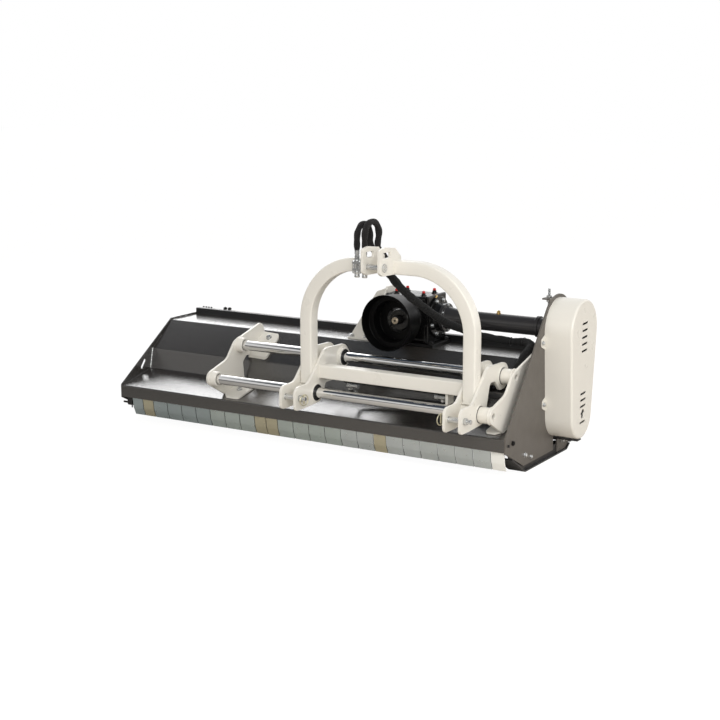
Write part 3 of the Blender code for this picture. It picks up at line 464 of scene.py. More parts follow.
cream = painted("cream_powder_coat", (0.775, 0.745, 0.675), (0.758, 0.726, 0.654), (0.27, 0.34), coat=0.15)
dark_grey = painted("dark_grey_powder_coat", (0.03, 0.027, 0.024), (0.034, 0.03, 0.026), (0.22, 0.27),
                    peel=0.0006, rub=(0.2, 0.19, 0.18), coat=1.0, coat_roughness=0.18, speck=0.15, tooth=230)
tune(dark_grey, {"Coat IOR": 1.7})
taupe = painted("warm_grey_powder_coat", (0.114, 0.102, 0.088), (0.099, 0.088, 0.077), (0.34, 0.46),
                rub=(0.3, 0.28, 0.26), speck=0.2)
black = painted("black_paint", (0.012, 0.012, 0.013), (0.02, 0.019, 0.018), (0.26, 0.42),
                peel=0.0002, rub=(0.16, 0.15, 0.14))
iron = painted("cast_black", (0.006,) * 3, (0.012, 0.011, 0.01), (0.28, 0.5), peel=0.0007, gloss=0.3)
shield_black = painted("shield_plastic", (0.0022,) * 3, (0.004,) * 3, (0.3, 0.42), peel=0.0001, gloss=0.09)
casting = painted("glossy_casting", (0.005,) * 3, (0.009,) * 3, (0.14, 0.24), peel=0.00015, gloss=0.42)

chrome = finish("hard_chrome", (0.78,) * 3, 0.06, metallic=1.0)
roughen(chrome, 0.04, 0.09, 30, stretch=(0.4, 6, 6))

steel = finish("turned_steel", (0.56, 0.54, 0.51), 0.34, metallic=1.0)
mottle(steel, (0.38, 0.33, 0.27), 0.5, 40, detail=6)
roughen(steel, 0.26, 0.44, 60, stretch=(8, 1, 1))
emboss(steel, 0.00008, 900, stretch=(4, 0.2, 0.2))


def painted_crevice_shade(metal):
    """Painted shade, with dirt, where two surfaces come close to each other."""
    closeness = node(metal, "AmbientOcclusion", {"Distance": 0.004})
    shade(metal, spread(metal, closeness.outputs["AO"], 1.0, 0.0, 0.35, 0.85), (0.03,) * 3)


def plated(name, colour, stain, roughness=(0.26, 0.42)):
    """Zinc plate: cloudy, with a fine crystal pattern and faint streaks."""
    metal = finish(name, colour, 0.34, metallic=0.85)
    mottle(metal, stain, 0.6, 9, detail=5)
    mottle(metal, tuple(min(1, c * 1.35) for c in colour), 0.22, 260, 0.1, 0.6, kind="Voronoi")
    roughen(metal, *roughness, 45, detail=6)
    emboss(metal, 0.00006, 500, stretch=(1, 1, 0.15))
    return metal


# The flaps' clear, greenish and greyish zincs differ a little in tint and step lighter in that order. The lightening
# is painted light, for flaps lit more toward the right end.
zinc = plated("clear_zinc", (0.48, 0.55, 0.56), (0.36, 0.42, 0.43))
zinc_green_painted_lighter = plated("greenish_zinc_painted_lighter", (0.6, 0.67, 0.645), (0.46, 0.53, 0.505))
zinc_grey_painted_lightest = plated("greyish_zinc_painted_lightest", (0.65, 0.7, 0.705), (0.5, 0.55, 0.555))
bolt_zinc = plated("bright_zinc", (0.62, 0.63, 0.63), (0.46, 0.47, 0.47), (0.16, 0.3))
yellow_zinc = plated("yellow_zinc", (0.64, 0.6, 0.44), (0.52, 0.47, 0.33))
flap_cream = painted("flap_cream", (0.9, 0.89, 0.84), (0.86, 0.85, 0.79), (0.3, 0.44))
# Painted shade in the gaps between the flaps and round their rod.
for surface in (zinc, zinc_green_painted_lighter, zinc_grey_painted_lightest, yellow_zinc, flap_cream):
    painted_crevice_shade(surface)
oiled_steel = plated("oiled_steel", (0.5, 0.43, 0.33), (0.38, 0.31, 0.22))
brass = plated("brass", (0.62, 0.44, 0.18), (0.48, 0.31, 0.11), (0.18, 0.32))

rubber = finish("hose_rubber", (0.015,) * 3, 0.62)
roughen(rubber, 0.48, 0.7, 50, detail=5)
emboss(rubber, 0.0002, 700, detail=2)

tube_black = painted("satin_black", (0.028, 0.027, 0.028), (0.036, 0.034, 0.034), (0.14, 0.24), peel=0.00008)
nylon = painted("black_nylon", (0.012, 0.012, 0.013), (0.018, 0.017, 0.017), (0.38, 0.52), peel=0.0001)

red_cap = finish("red_cap", (0.62, 0.018, 0.014), 0.38)
mottle(red_cap, (0.48, 0.012, 0.01), 0.5, 120)
emboss(red_cap, 0.00008, 800)


def woven(name, colour, radius, length):
    """A braided sleeve: threads that cross aslant, measured in metres round and along the tube."""
    cloth = finish(name, colour, 0.85)
    tune(cloth, {"Sheen Weight": 0.06, "Sheen Roughness": 0.5, "Specular IOR Level": 0.25})
    threads, pitch = [], 0.0016
    for turn in (1, -1):
        lay = node(cloth, "Mapping", {
            "Scale": (tau * radius * MM, length, 1), "Rotation": (0, 0, turn * pi / 4),
            "Vector": node(cloth, "TexCoord").outputs["UV"]})
        wave = node(cloth, "TexWave", {"Scale": 1 / (3.18 * pitch), "Vector": lay.outputs["Vector"]})
        threads.append(wave.outputs["Fac"])
    weave = node(cloth, "Math", dict(enumerate(threads)), operation="MAXIMUM").outputs["Value"]
    shade(cloth, spread(cloth, weave, 0.0, 0.55, 0.2, 1.0), tuple(2.6 * c for c in colour))
    mottle(cloth, tuple(0.6 * c for c in colour), 0.4, 30, detail=5)
    emboss(cloth, 0.0005, height=weave)
    return cloth


# The CAD's slot that each finish stands for, unless a piece names another

SLOTS = {
    cream.name: "cream_paint", flap_cream.name: "cream_paint", dark_grey.name: "dark_grey_paint",
    taupe.name: "taupe_paint", shield_black.name: "black_plastic", chrome.name: "chrome", rubber.name: "rubber",
    oiled_steel.name: "steel", yellow_zinc.name: "yellow_zinc",
    **{surface.name: "black_paint" for surface in (black, iron, casting, tube_black)},
    **{surface.name: "zinc" for surface in (zinc, zinc_green_painted_lighter, zinc_grey_painted_lightest, bolt_zinc)},
}


def fit(name, pieces, surface, *nodes, body="hood", slot_name=None):
    """Joins parts into a piece, with its name, finish, body and the CAD nodes that it stands for."""
    piece = join(*pieces) if isinstance(pieces, list) else pieces
    piece.name = name
    piece.data.materials.clear()
    piece.data.materials.append(surface)
    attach(piece, body)
    if slot_name is None:
        slot_name = SLOTS.get(surface.name)
    if nodes:
        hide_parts(*nodes)
    return piece


# Sizes that several pieces share, as in the part

HALF_WIDTH, PLATE, SHEET, GAP = 875, 6, 5, 0.3
INNER_HALF = HALF_WIDTH - PLATE - GAP
LIP_BOTTOM, LIP_TOP, DECK_BACK, WALL_TOP = 105, 153, (186, 193), (203, 275)
ROOF_FRONT, ROOF_Z, ROOF_BACK = 333, 378, 532
ROTOR_Y, ROTOR_Z, DRIVE_Y, DRIVE_Z = 421, 172, 427, 487
LOWER_ROD, UPPER_ROD, ROD_R = (-33, 243), (145, 349), 20
CARRIAGE_X, HALF_SPREAD = 412.5, 340.5
LEFT_FOOT, RIGHT_FOOT = CARRIAGE_X - HALF_SPREAD, CARRIAGE_X + HALF_SPREAD
ROLLER = (655, 70.3)
SIDES = ((-1, "left"), (1, "right"))


def deck_z(y):
    return LIP_TOP + (DECK_BACK[1] - LIP_TOP) * y / DECK_BACK[0]


def slope_z(y):
    return WALL_TOP[1] + (ROOF_Z - WALL_TOP[1]) / (ROOF_FRONT - WALL_TOP[0]) * (y - WALL_TOP[0])


def offset_line(line, distance):
    """The same open line moved sideways, to its right as it runs."""
    points = [Vector(point[:2]) for point in line]
    moved = []
    for k, here in enumerate(points):
        sides = []
        for a, b in ((k - 1, k), (k, k + 1)):
            if a >= 0 and b < len(points):
                run = (points[b] - points[a]).normalized()
                sides.append(Vector((run.y, -run.x)))
        across = (sides[0] + sides[-1]).normalized()
        shifted = here + across * distance / across.dot(sides[0])
        moved.append((*shifted, line[k][2]))
    return moved


# Hoses: their runs come first, and the pieces round them are made to clear them

SLEEVE_R, LOOP_R, HOSE_R = 14.8, 12, 7.5
route = smooth_route([at(*p) for p in rows(
    "770 224 330, 788 234 343, 802 254 374, 812 288 409, 806 345 428, 769 374 434, 708 378 430, 601 350 444, "
    "540 305 472, 491 250 506, 445 180 564, 411 96 630, 376 43 700, 362 40 730")])
mouth = route[0]
heading = (route[0] - route[1]).normalized()
TIES = [min(range(len(route)), key=lambda k: abs(route[k].x - at(x, 0, 0).x) + (route[k].y < at(0, 330, 0).y))
        for x in (708, 765)]


def gathered(k):
    """How full the sleeve is at each ring: drawn in at its ends and ties, uneven between them."""
    along = min(k, len(route) - 1 - k) / 4
    full = 1.03 + 0.035 * sin(k * 0.83) + 0.03 * sin(k * 0.37 + 1.0) + 0.02 * sin(k * 1.71)
    for tie in TIES:
        full -= 0.17 * exp(-((k - tie) / 1.6) ** 2)
    return full * (0.86 + 0.14 * min(1, along))


sleeve = tube(route, SLEEVE_R, gathered, resolution=8)
sleeve.name = "sleeve"
folds = bpy.data.textures.new("folds", "CLOUDS")
folds.noise_scale = 0.028
modify(sleeve, "DISPLACE", texture=folds, strength=0.0045, mid_level=0.5)
sleeve.data.materials.clear()
sleeve.data.materials.append(woven("braided_sleeve", (0.007,) * 3, SLEEVE_R, line_length(route)))
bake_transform(sleeve)
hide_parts("hose_sleeve")
ties = []
for k in TIES:
    run = (route[k + 1] - route[k - 1]).normalized()
    side = run.cross(AXES["Z"]).normalized()
    other = run.cross(side)
    ties.append(tube([route[k] + (side * u + other * v) * MM for u, v in around(40, 15.6)], 1.3, closed=True,
                     resolution=3))
    lock = block((0, 0, 0), (7, 5.5, 4.8), 0.8)
    ties.append(shift(lock, route[k] + Vector((-0.003, -0.011, 0.0115)) - LAYOUT))
ties = fit("sleeve_ties", ties, nylon)

y = -71.5
crest = (route[-1] - route[-2]).normalized()
across = AXES["Y"].cross(crest) * 0.0088
for name, x, side, back, top in (("rear", 307, -1, 20, 886), ("front", 339, 1, 28, 896)):
    half, reach, end = (y + back) / 2, (back - y) / 2, route[-1] + crest * 0.0006 + across * side
    turns = [at(x, half + u, top - reach + v) for u, v in around(12, reach)[:7]]
    run = smooth_route([end, end + crest * 0.03, at(x - 4 * side, back, 800), *turns, at(x, y, 796)])
    loop = tube(run, LOOP_R, lambda k: 0.98 + 0.07 * sin(k * 0.9) + 0.05 * sin(k * 0.37 + x * 0.09)
                - 0.2 * exp(-(len(run) - 1 - k) / 4), resolution=7)
    cloth = woven(name + "_loop_braid", (0.01, 0.009, 0.009), LOOP_R, line_length(run))
    fit(name + "_loop", loop, cloth, "hose_loops", body="carriage", slot_name="hose_textile")
    teeth = [(u * (10.4 if k % 2 else 9.8), v * (10.4 if k % 2 else 9.8)) for k, (u, v) in enumerate(around(64, 1))]
    place = at(x, y, 8)
    knurl = smooth(shift(prism(teeth, 716, 738, "Z"), place - LAYOUT), 20)
    shell = turned(rows(
        "690 6.2, 690 8.6, 691.5 9.6, 699 10, 700.5 9.2, 703 9.2, 704.5 10, 715 10, 716 9.4, 738 9.4, 739.5 10.5, "
        "745.5 11, 748 9.8, 751 8.6, 770 8.6, 771.2 7.8, 773.5 7.8, 774.7 8.8, 790 8.8, 790.8 8, 790.8 5, 785 5, "
        "785 0, 696 0, 696 6.2, 690 6.2"), place, "Z", 40)
    flats = soften(shift(prism(around(6, 10.4), 754.5, 766.5, "Z"), place - LAYOUT), 0.6)
    coupler = fit(name + "_coupler", [shell, knurl, flats], bolt_zinc, "hose_loops", body="carriage")
clamps = [block((294, y - 13.5, z), (352, y + 14.5, z + 9), 1.5) for z in (747, 722.5)]
clamps += [rod(713, 760, 4.2, at(x, y - 9, 0), "Z", 20) for x in (298.5, 323, 347.5)]
clamps += [rod(715, 722, 7.2, at(x, y - 6, 0), "Z", 6, 0.5) for x in (298.5, 323, 347.5)]
clamps += [ring(756, 760, 12.8, 10.1, at(x, y, 0), "Z", 32, 0.8) for x in (307, 339)]
fit("coupler_grip", clamps, bolt_zinc, "hose_loops", body="carriage")

collar = turned(rows(
    "1.5 0, 1.5 15, 3 16.5, 7.5 16.5, 8 15.8, 9.5 15.8, 10 16.5, 14.5 16.5, 16 15.2, 16 0"), Vector(), "Z", 40)
fit("sleeve_collar", aim(collar, mouth, heading), nylon, "cylinder_hoses", slot_name="rubber")
tip = mouth + heading * 0.03
for name, port, side in (("long", 182, 1), ("short", 580, -1)):
    run = smooth_route([
        mouth + heading * 0.01 + Vector((0, 0.0075 * side, 0)), tip + Vector((0, 0.008 * side, 0)),
        at(720, 204 + 8 * side, 301), at(695, 178 + 8 * side, 268 - 6 * side),
        at(650, 148 + 8 * side, 230 - 6 * side), at(port + 60, 118 + 6 * side, 214),
        at(port + 18, 94, 222), at(port, 85, 238), at(port, 85, 251.7),
    ], 10)
    hose = fit(name + "_cylinder_hose", tube(run, HOSE_R), rubber, "cylinder_hoses")
    ferrule = turned(rows(
        "0 7.6, 0 8.8, 1 9.4, 5 9.4, 5.6 8.8, 6.4 9.4, 11.5 9.4, 12.1 8.8, 12.9 9.4, 19 9.4, 20 8.8, 20 7.6, 0 7.6"),
        Vector(), "Z", 32)
    aim(ferrule, run[-6], run[-3] - run[-6])
    swivel = turned(rows("239.5 0, 239.5 8.5, 240.5 9.5, 250 9.5, 251.2 8.5, 251.2 0"),
                    at(port, 85, 0), "Z", 6, 20)
    end = fit(name + "_hose_end", [ferrule, swivel], bolt_zinc, "cylinder_hoses")


# Fasteners, made once at the origin and copied

def hex_bolt():
    """A hexagon head on a washer, with its chamfered top and the end of its thread."""
    washer = ring(0, 1.6, 10.5, 4, Vector(), "Z", 24, 0.3)
    deselect()
    edit.primitive_cylinder_add(vertices=6, radius=0.0092, depth=0.0064, location=(0, 0, 0.0048))
    reshape()
    choose(bpy.context.object, lambda face: face.normal.z > 0.9)
    edit.inset(thickness=0.0011)
    bpy.ops.transform.translate(value=(0, 0, 0.0008))
    head = soften(settle(), 0.3, 1, 30)
    return join(washer, head, rod(8, 10.8, 4.5, Vector(), "Z", 16, 0.8))


def threaded_end(turns=12, pitch=1.6, radius=5):
    """A bolt's thread, as rings cut one after another."""
    profile = [(0, 0), (0, radius)]
    for k in range(turns):
        profile += [(pitch * (k + 0.5), radius * 0.88), (pitch * (k + 1), radius)]
    return turned(profile + [(21.2, radius * 0.8), (21.2, 0)], Vector(), "Z", 16, 60)


def hex_nut():
    """A nut with both faces chamfered."""
    corners = [(u, v, 0) for u, v in around(6, 9.2)]
    return shift(plate(corners, 0, 7.6, "Z", edge=0.5, holes=[(0, 0, 4.4)]), -LAYOUT)


bolt, nut, thread = hex_bolt(), hex_nut(), threaded_end()


def bolts(name, table, facing="Z", surface=bolt_zinc, **fitted):
    return fit(name, copies(bolt, table, facing), surface, **fitted)


# Hood

line = [(0, LIP_BOTTOM, 0), (0, LIP_TOP, 6), (*DECK_BACK, 6), (*WALL_TOP, 8), (ROOF_FRONT, ROOF_Z, 12),
        (ROOF_BACK, ROOF_Z, 30), (665, 262, 30), (698, 165, 0)]
sheet = plate(line + offset_line(line, SHEET)[::-1], -INNER_HALF, INNER_HALF, step=9, edge=0.6)
rail = plate(rows(
    "500 376 0, 500 405 4, 528 405 4, 528 376 0, 524 376 0, 524 401 0, 504 401 0, 504 376 0"),
    -INNER_HALF + 4, 790, edge=0.7)
fold = [(12, LIP_TOP + 1), (184, 194), (201, 275), (262, slope_z(262))]
ends = (1 - INNER_HALF, INNER_HALF - 1)
deck_seams, wall_seams, slope_seams = (
    [seam([at(x, y, z) for y, z in line], width) for x in ends]
    for line, width in ((fold[:2], 2.2), (fold[1:3], 3.4), (fold[2:], 2.2)))
roof_seams = [seam([at(x, y + 38 * k, ROOF_Z + 0.6) for y in (345, 362)]) for x in ends for k in range(4)]
fit("hood_shell", [sheet, *roof_seams, *deck_seams, *slope_seams], dark_grey, "hood_sheet")
fit("corner_welds", wall_seams, bolt_zinc, "hood_sheet", slot_name="dark_grey_paint")
# The rail is the hood's dark grey paint. Its black finish, darker and without the clear coat, is painted shade for
# its dark front face.
fit("stiffening_rail", rail, black, "hood_sheet", slot_name="dark_grey_paint")

# Bolts that stand along the rear edge of the roof, at its left end
long_studs = [(x, 539, 392.5, 1) for x in (-735, -712)]
short_studs = [(-852 + 14 * k, 539, 390.5, 0.8) for k in range(4)]
fit("rear_edge_studs", [copies(thread, long_studs + short_studs),
                        copies(nut, [(x, y, z + 11, size) for x, y, z, size in long_studs])], black)


# Side plates

hinge_hole, rotor_hole = (20, 128, 5.4), (ROTOR_Y, ROTOR_Z, 26.2)
fit("left_plate", plate([
    (0, 102, 4), (0, LIP_TOP + 3, 6), (338, 385, 12), (512, 385, 10), (560, 378, 40), (690, 285, 60), (735, 150, 20),
    (725, 52, 15), (545, 25, 20), (150, 25, 10),
], -HALF_WIDTH, -HALF_WIDTH + PLATE, holes=[hinge_hole, slot(141.5, 217.5, 46, 16, 52), rotor_hole]),
    dark_grey, "left_side_plate")

TOP_R = 130
foot = LIP_TOP + 5
reach = Vector((DRIVE_Y, DRIVE_Z - foot))
climb = tan(atan2(reach.y, reach.x) + asin(TOP_R / reach.length))
top, back = DRIVE_Z + TOP_R, DRIVE_Y + TOP_R
right = plate([
    (0, 102, 4), (0, foot, 4), ((top - foot) / climb, top, TOP_R), (back, top, TOP_R), (back + 4, 410, 50),
    (690, 285, 60), (735, 150, 20), (725, 86, 15), (421, 86, 10), (411, 76, 2), (411, 25, 2), (152, 25, 6),
], HALF_WIDTH - PLATE, HALF_WIDTH, step=6, holes=[hinge_hole, (DRIVE_Y, DRIVE_Z, 24), rotor_hole])
guard_bar = block((HALF_WIDTH - 3, 414, 70), (972, 450, 75), 1.5)
stand = plate([(357, 542, 4), (351, 609, 4), (419, 609, 4), (435, 572, 4)],
              HALF_WIDTH - PLATE + 0.5, HALF_WIDTH - 0.5)
shelf = block((HALF_WIDTH - 40, 367, 600.5), (HALF_WIDTH - 1, 415, 606.5), 1.2)
fit("right_plate", [right, stand, shelf], taupe, "right_side_plate")
fit("guard_bar", guard_bar, black, "right_side_plate")

for side, name in SIDES:
    fit(name + "_bearing", turned([(side * a, r) for a, r in rows(
        "-0.5 26.2, -0.5 54.8, 0.8 56, 8.5 56, 10 54.5, 11.5 48, 18.5 45.5, 20.5 44, 22 42.5, 22 36, 19.5 34.5, "
        "19.5 30, 20.5 29.5, 20.5 26.2, -0.5 26.2")],
        at(side * HALF_WIDTH, ROTOR_Y, ROTOR_Z), "X", 64), black)
    bolts(name + "_bearing_bolts", [(side * (HALF_WIDTH + 10), ROTOR_Y + u, ROTOR_Z + v, 0.62)
                                    for u, v in around(4, 50, 0.5)], "X" if side > 0 else "-X")

adjuster = (HALF_WIDTH - 22, 391)
stem = copies(thread, [(*adjuster, z, 1.15) for z in (575.5, 596, 616.5)])
nuts = copies(nut, [(*adjuster, 606.8, 1.15), (*adjuster, 599.5, 1.15, FACING["-Z"])])
fit("belt_adjuster", [stem, nuts], bolt_zinc)

outer = HALF_WIDTH + 0.2
arm_bolts = [(ROLLER[0], 205, 0.9), (ROLLER[0] - 35, 120, 0.9)]
bolts("flap_rod_bolt", [(outer, 56, 131, 0.9)], "X", iron)
fit("right_heel", plate(rows(
    "455 6.5 2, 455 74 6, 500 74 10, 572 50 10, 560 17.5 4, 535 6.5 2"), 866, 872), taupe, slot_name="black_paint")
bolts("heel_bolts", [(872.2, 500, 47, 1.1), (872.2, 545, 42, 1)], "X")
bolts("right_plate_bolts", [(outer, *row) for row in ((162, 64, 0.9), (212, 46, 0.8), *arm_bolts)], "X")
bolts("left_plate_bolts", [(-outer, *row) for row in ((55, 118, 0.9), (118, 62, 0.9), *arm_bolts)], "-X")


# Skids

sole_line = [(46, 70, 0), (160, 0, 30), (535, 0, 20), (563, 18, 0)]
web_line = rows("44 76 0, 44 142 8, 85 142 10, 205 85 20, 300 85 10, 330 40 15, 500 40 10, 520 3 0, 160 3 0")
for side, name in SIDES:
    span = sorted((side * 812, side * (HALF_WIDTH + 4)))
    sole = plate(sole_line + offset_line(sole_line, -6)[::-1], *span, step=8, edge=1.2)
    web = plate(web_line, *sorted((side * (INNER_HALF - 6), side * INNER_HALF)))
    run = [at(side * (INNER_HALF - 7), y, z) for y, z in ((100, 46), (155, 7.5), (520, 6.5))]
    fit(name + "_sole", [sole, web, seam(run, 3)], black, name + "_skid")


# Front flaps: one wide and one narrow are shaped, then copied along the rod

FLAP_ORDER, FLAP_WIDTH = "NNWWWWWWWNNWWWWWWNWWWWWWN", {"W": 71.9, "N": 54.4}
HINGE, EYE_R = Vector((20, 128)), 7.7


def flap(width):
    """A strip rolled into an eye, hanging from the front of the rod and bent in at its foot."""
    line = [(-EYE_R * cos(a), EYE_R * sin(a)) for a in map(radians, range(285, -1, -15))]
    line += [(u - EYE_R, v) for u, v in rows("0 -20, 0 -45, 0 -66, 0.6 -68.5, 1.8 -72.5, 9 -97.8")]
    lean = Matrix.Rotation(radians(7.6), 2)
    trace([at(0, *(HINGE + lean @ Vector(p))) for p in line])
    edit.extrude_edges_move(TRANSFORM_OT_translate={"value": ((width - 2.6) * MM, 0, 0)})
    return soften(modify(settle(), "SOLIDIFY", thickness=0.0042, offset=0), 0.5, 2, 50)


patterns = {kind: flap(width) for kind, width in FLAP_WIDTH.items()}
x = -828
for number, kind in enumerate(FLAP_ORDER, start=1):
    # Flaps 2, 10, 11, 18 and 25 have their own finishes. The others take the three zincs in groups from left to
    # right, lighter to the right as painted light.
    surface = {2: yellow_zinc, 10: yellow_zinc, 11: yellow_zinc, 18: yellow_zinc, 25: flap_cream}.get(
        number, (zinc, zinc_green_painted_lighter, zinc_grey_painted_lightest)[min(2, (number + number * 7 % 5) // 9)])
    name = f"flap_{number:02d}"
    strip = copy_of(patterns[kind], Matrix.Translation(((x + 1.2) * MM, 0, 0)))
    fit(name, strip, surface, "front_" + name, body=name)
    x += FLAP_WIDTH[kind]
for piece in patterns.values():
    bpy.data.objects.remove(piece)

fit("hinge_rod", rod(-HALF_WIDTH - 2, HALF_WIDTH + 6, 4.8, at(0, *HINGE), steps=24), black, "flap_hinge_rod")
fit("hinge_stop", [rod(-880, -845, 4.2, at(0, 22, 79), steps=20), block((-856, 12, 69), (-831, 30, 115), 6),
                   rod(58, 72, 2.6, at(-837, 22, 0), "Z", 16)], black)


# Slide brackets and rods

nose = LOWER_ROD[0] - 30
bracket_line = [
    (46, deck_z(46) + 1.2, 0), (nose, 225.7, 29.5), (nose, 266.3, 29.5), (64, 301, 60), (120, 367, 35),
    (310, 417.5, 26), (325, slope_z(325) + 1.2, 4), (224, slope_z(224) + 1.2, 0), (196, 296, 12), (171, 274, 14),
    (180, deck_z(180) + 1.2, 0),
]


def laid(corners, level, thickness):
    """A plate cut to an outline in X and Y and laid on a slope that climbs along Y."""
    made = plate(corners, 0, thickness, "Z", edge=1.2, step=9)
    rise, base = level(1) - level(0), (level(0) + 0.6) * MM
    made.data.transform(Matrix.Translation(LAYOUT) @ Matrix(((1, 0, 0, 0), (0, 1, 0, 0), (0, rise, 1, base),
                                                             (0, 0, 0, 1))) @ Matrix.Translation(-LAYOUT))
    return made


for name, x, toward, boss, front, reach in (("left", -388, 1, 30, 16, 86), ("right", 833, -1, 41.5, 28, 55)):
    face, bore = (x + 10, 8.5) if toward > 0 else (x, 11.2)
    parts = [plate(bracket_line, x, x + 10, step=6, edge=1.6, segments=3,
                   holes=[(*LOWER_ROD, bore), (*UPPER_ROD, bore)])]
    foot = [(-3, 48, 0), (42 - front, front, 6), (reach, front, 14), (reach, 135, 10), (-3, 135, 0)]
    pad = [(-3, 213, 0), (reach, 211, 14), (reach, 311, 16), (-3, 315, 0)]
    for corners, level, thickness in ((foot, deck_z, 7.5), (pad, slope_z, 11.5)):
        parts.append(laid([(face + toward * out, y, bend) for out, y, bend in corners], level, thickness))
    for (y, z), level in ((LOWER_ROD, "lower"), (UPPER_ROD, "upper")):
        parts.append(turned([(toward * a, r) for a, r in (
            (0, 20.8), (0, 29), (boss - 1.4, 29), (boss - 0.4, 28.6), (boss, 27.6), (boss, 22.2), (boss - 2, 20.8),
            (0, 20.8))], at(face, y, z), steps=64))
        parts.append(round_seam(face + toward * 1.2, y, z, 29.8))
        screw = rod(-2, 0.9, 3.4, at(face + toward * 15, y, z + 29), "Z", 16, 0.6)
        fit(f"{name}_boss_screw_{level}", screw, bolt_zinc)
    fit(name + "_bracket", parts, cream, name + "_slide_bracket")
    tilt = atan2(DECK_BACK[1] - LIP_TOP, DECK_BACK[0])
    slope = atan2(ROOF_Z - WALL_TOP[1], ROOF_FRONT - WALL_TOP[0])
    bolts(name + "_bracket_bolts", [(face + toward * 42, 85, deck_z(85) + 8.2, 1.1, (tilt, 0, 0)),
                                    (face + toward * 45, 290, slope_z(290) + 13, 1.1, (slope, 0, 0))])
    if toward > 0:
        bolts("left_rod_bolts", [(x, *place, 1.15) for place in (LOWER_ROD, UPPER_ROD)], "-X")
# Thin black discs on the rods' right ends, inside the right bracket's bores: painted shade, so the bores read dark.
bore_shade_discs = [turned(rows("832.8 0, 833.2 4, 833.2 10.8, 832.8 11, 832.8 0"), at(0, *place), steps=32)
         for place in (LOWER_ROD, UPPER_ROD)]
fit("right_rod_bore_shade_discs", bore_shade_discs, iron, slot_name="")

for name, place in (("lower", LOWER_ROD), ("upper", UPPER_ROD)):
    fit(name + "_rod", rod(-377.7, 832.7, ROD_R, at(0, *place), steps=96, edge=1.5), chrome, name + "_slide_rod")


# Carriage: two clevises on the rods, the arch between them and the cross tube

def hitch_line(lug):
    back = [(16, 245, 30), (30, 270.5, 10), (112, 270.5, 20), (118, 301, 0)] if lug else [
        (16, 245, 40), (44, 342, 20), (84, 341, 14), (122, 301, 14)]
    return [(-180, 286, 26), (-180, 199, 18), (-110, 199, 30), (-2, 205, 34), *back, (194, 301, 47), (194, 397, 47),
            (24, 402, 45), (-90, 288, 45)]


PIN = (-150, 243)
for side, name in SIDES:
    x = CARRIAGE_X + side * HALF_SPREAD
    left, right = x - 35.5, x + 25.5
    parts = [plate(hitch_line(lug), start, start + 10, step=6, edge=1.8, segments=3,
                   holes=[(*PIN, 11.6), (*LOWER_ROD, 30), (*UPPER_ROD, 30)])
             for start, lug in ((left, False), (right, side < 0))]
    for (y, z), extra, level in ((LOWER_ROD, 2, "lower"), (UPPER_ROD, 13 if side < 0 else 2, "upper")):
        a, b = left - 2, right + 10 + extra
        parts.append(turned([
            (a, 31.5), (a, 36), (a + 1, 37), (b - 1, 37), (b, 36), (b, 31.5), (b - 3, 31.5), (b - 3, 21.5),
            (a + 3, 21.5), (a + 3, 31.5), (a, 31.5)], at(0, y, z), steps=72))
        for inner in (left + 11.2, right - 1.2, *([right + 11.2] if extra > 10 else [])):
            parts.append(round_seam(inner, y, z, 38, 2.6))
        for start, place in ((a - 0.6, "outer"), (b - 3, "inner")):
            seal = ring(start, start + 3.6, 30.8, 20.3, at(0, y, z), steps=64, edge=0.8)
            fit(f"{name}_{place}_seal_{level}", seal, rubber, body="carriage")
    fit(name + "_clevis", parts, cream, name + "_hitch_clevis", body="carriage")

# The arch: a square tube bent twice, drawn up from its left foot
r, foot, crown, y = 222, LOWER_ROD[1] + 37.3, 741, -31
deselect()
edit.primitive_plane_add(size=0.05, location=at(LEFT_FOOT, y, foot))
reshape()
edit.select_mode(type="VERT")
edit.bevel(offset=0.006, segments=4, affect="VERTICES")
choose(bpy.context.object, lambda face: True)
pull(0, 0, crown - r - foot)
edit.spin(steps=24, angle=-QUARTER, center=at(LEFT_FOOT + r, y, crown - r), axis=(0, 1, 0))
pull(RIGHT_FOOT - LEFT_FOOT - 2 * r, 0, 0)
edit.spin(steps=24, angle=-QUARTER, center=at(RIGHT_FOOT - r, y, crown - r), axis=(0, 1, 0))
pull(0, 0, foot - crown + r)
face_outward()
arch = smooth(settle(), 40)
ear_line = rows(
    "-157 731 10, -157 813 8, -118 820 30, -47 811 8, -4 776 10, -10 745 6, -44 745 0, -48 716.5 6, -135 718.5 30")
window = outline([(-130, 780, 4), (-138, 801, 4), (-82, 801, 8), (-80, 780, 6)])
TOP_PIN = (-126, 748)
ears = [plate(ear_line, CARRIAGE_X + x, CARRIAGE_X + x + 10, step=8, edge=1.6, segments=3,
              holes=[window, (*TOP_PIN, 10.1)]) for x in (-39, 29)]
ear_seams = [seam([at(CARRIAGE_X + x, -57, z) for z in (764, 724)], 2.6) for x in (-40.2, 40.2)]
feet = [seam([at(x + 26 * u, y + 26 * v, foot + 1) for u, v in SQUARE], closed=True) for x in (LEFT_FOOT, RIGHT_FOOT)]
fit("arch", [arch, *ears, *ear_seams, *feet], cream, "mast_arch", body="carriage")

inner = HALF_SPREAD - 35.5 - GAP
y, z = 6, 320
cross = plate([(y + 25 * v, z + 25 * u, 5) for u, v in SQUARE],
              CARRIAGE_X - inner, CARRIAGE_X + inner, step=15, edge=0)
ends = [seam([at(x, y + 25.5 * u, z + 25.5 * v) for u, v in SQUARE], 2.6, closed=True)
        for x in (CARRIAGE_X - inner + 1, CARRIAGE_X + inner - 1)]
lug = plate(rows("-2 252 6, -2 300 0, 26 300 0, 46 290 6, 46 252 6"), 634, 644, step=8, edge=1.4)
fit("cross_bar", [smooth(cross, 40), lug, *ends], cream, "cross_tube", body="carriage")


# Hitch pins

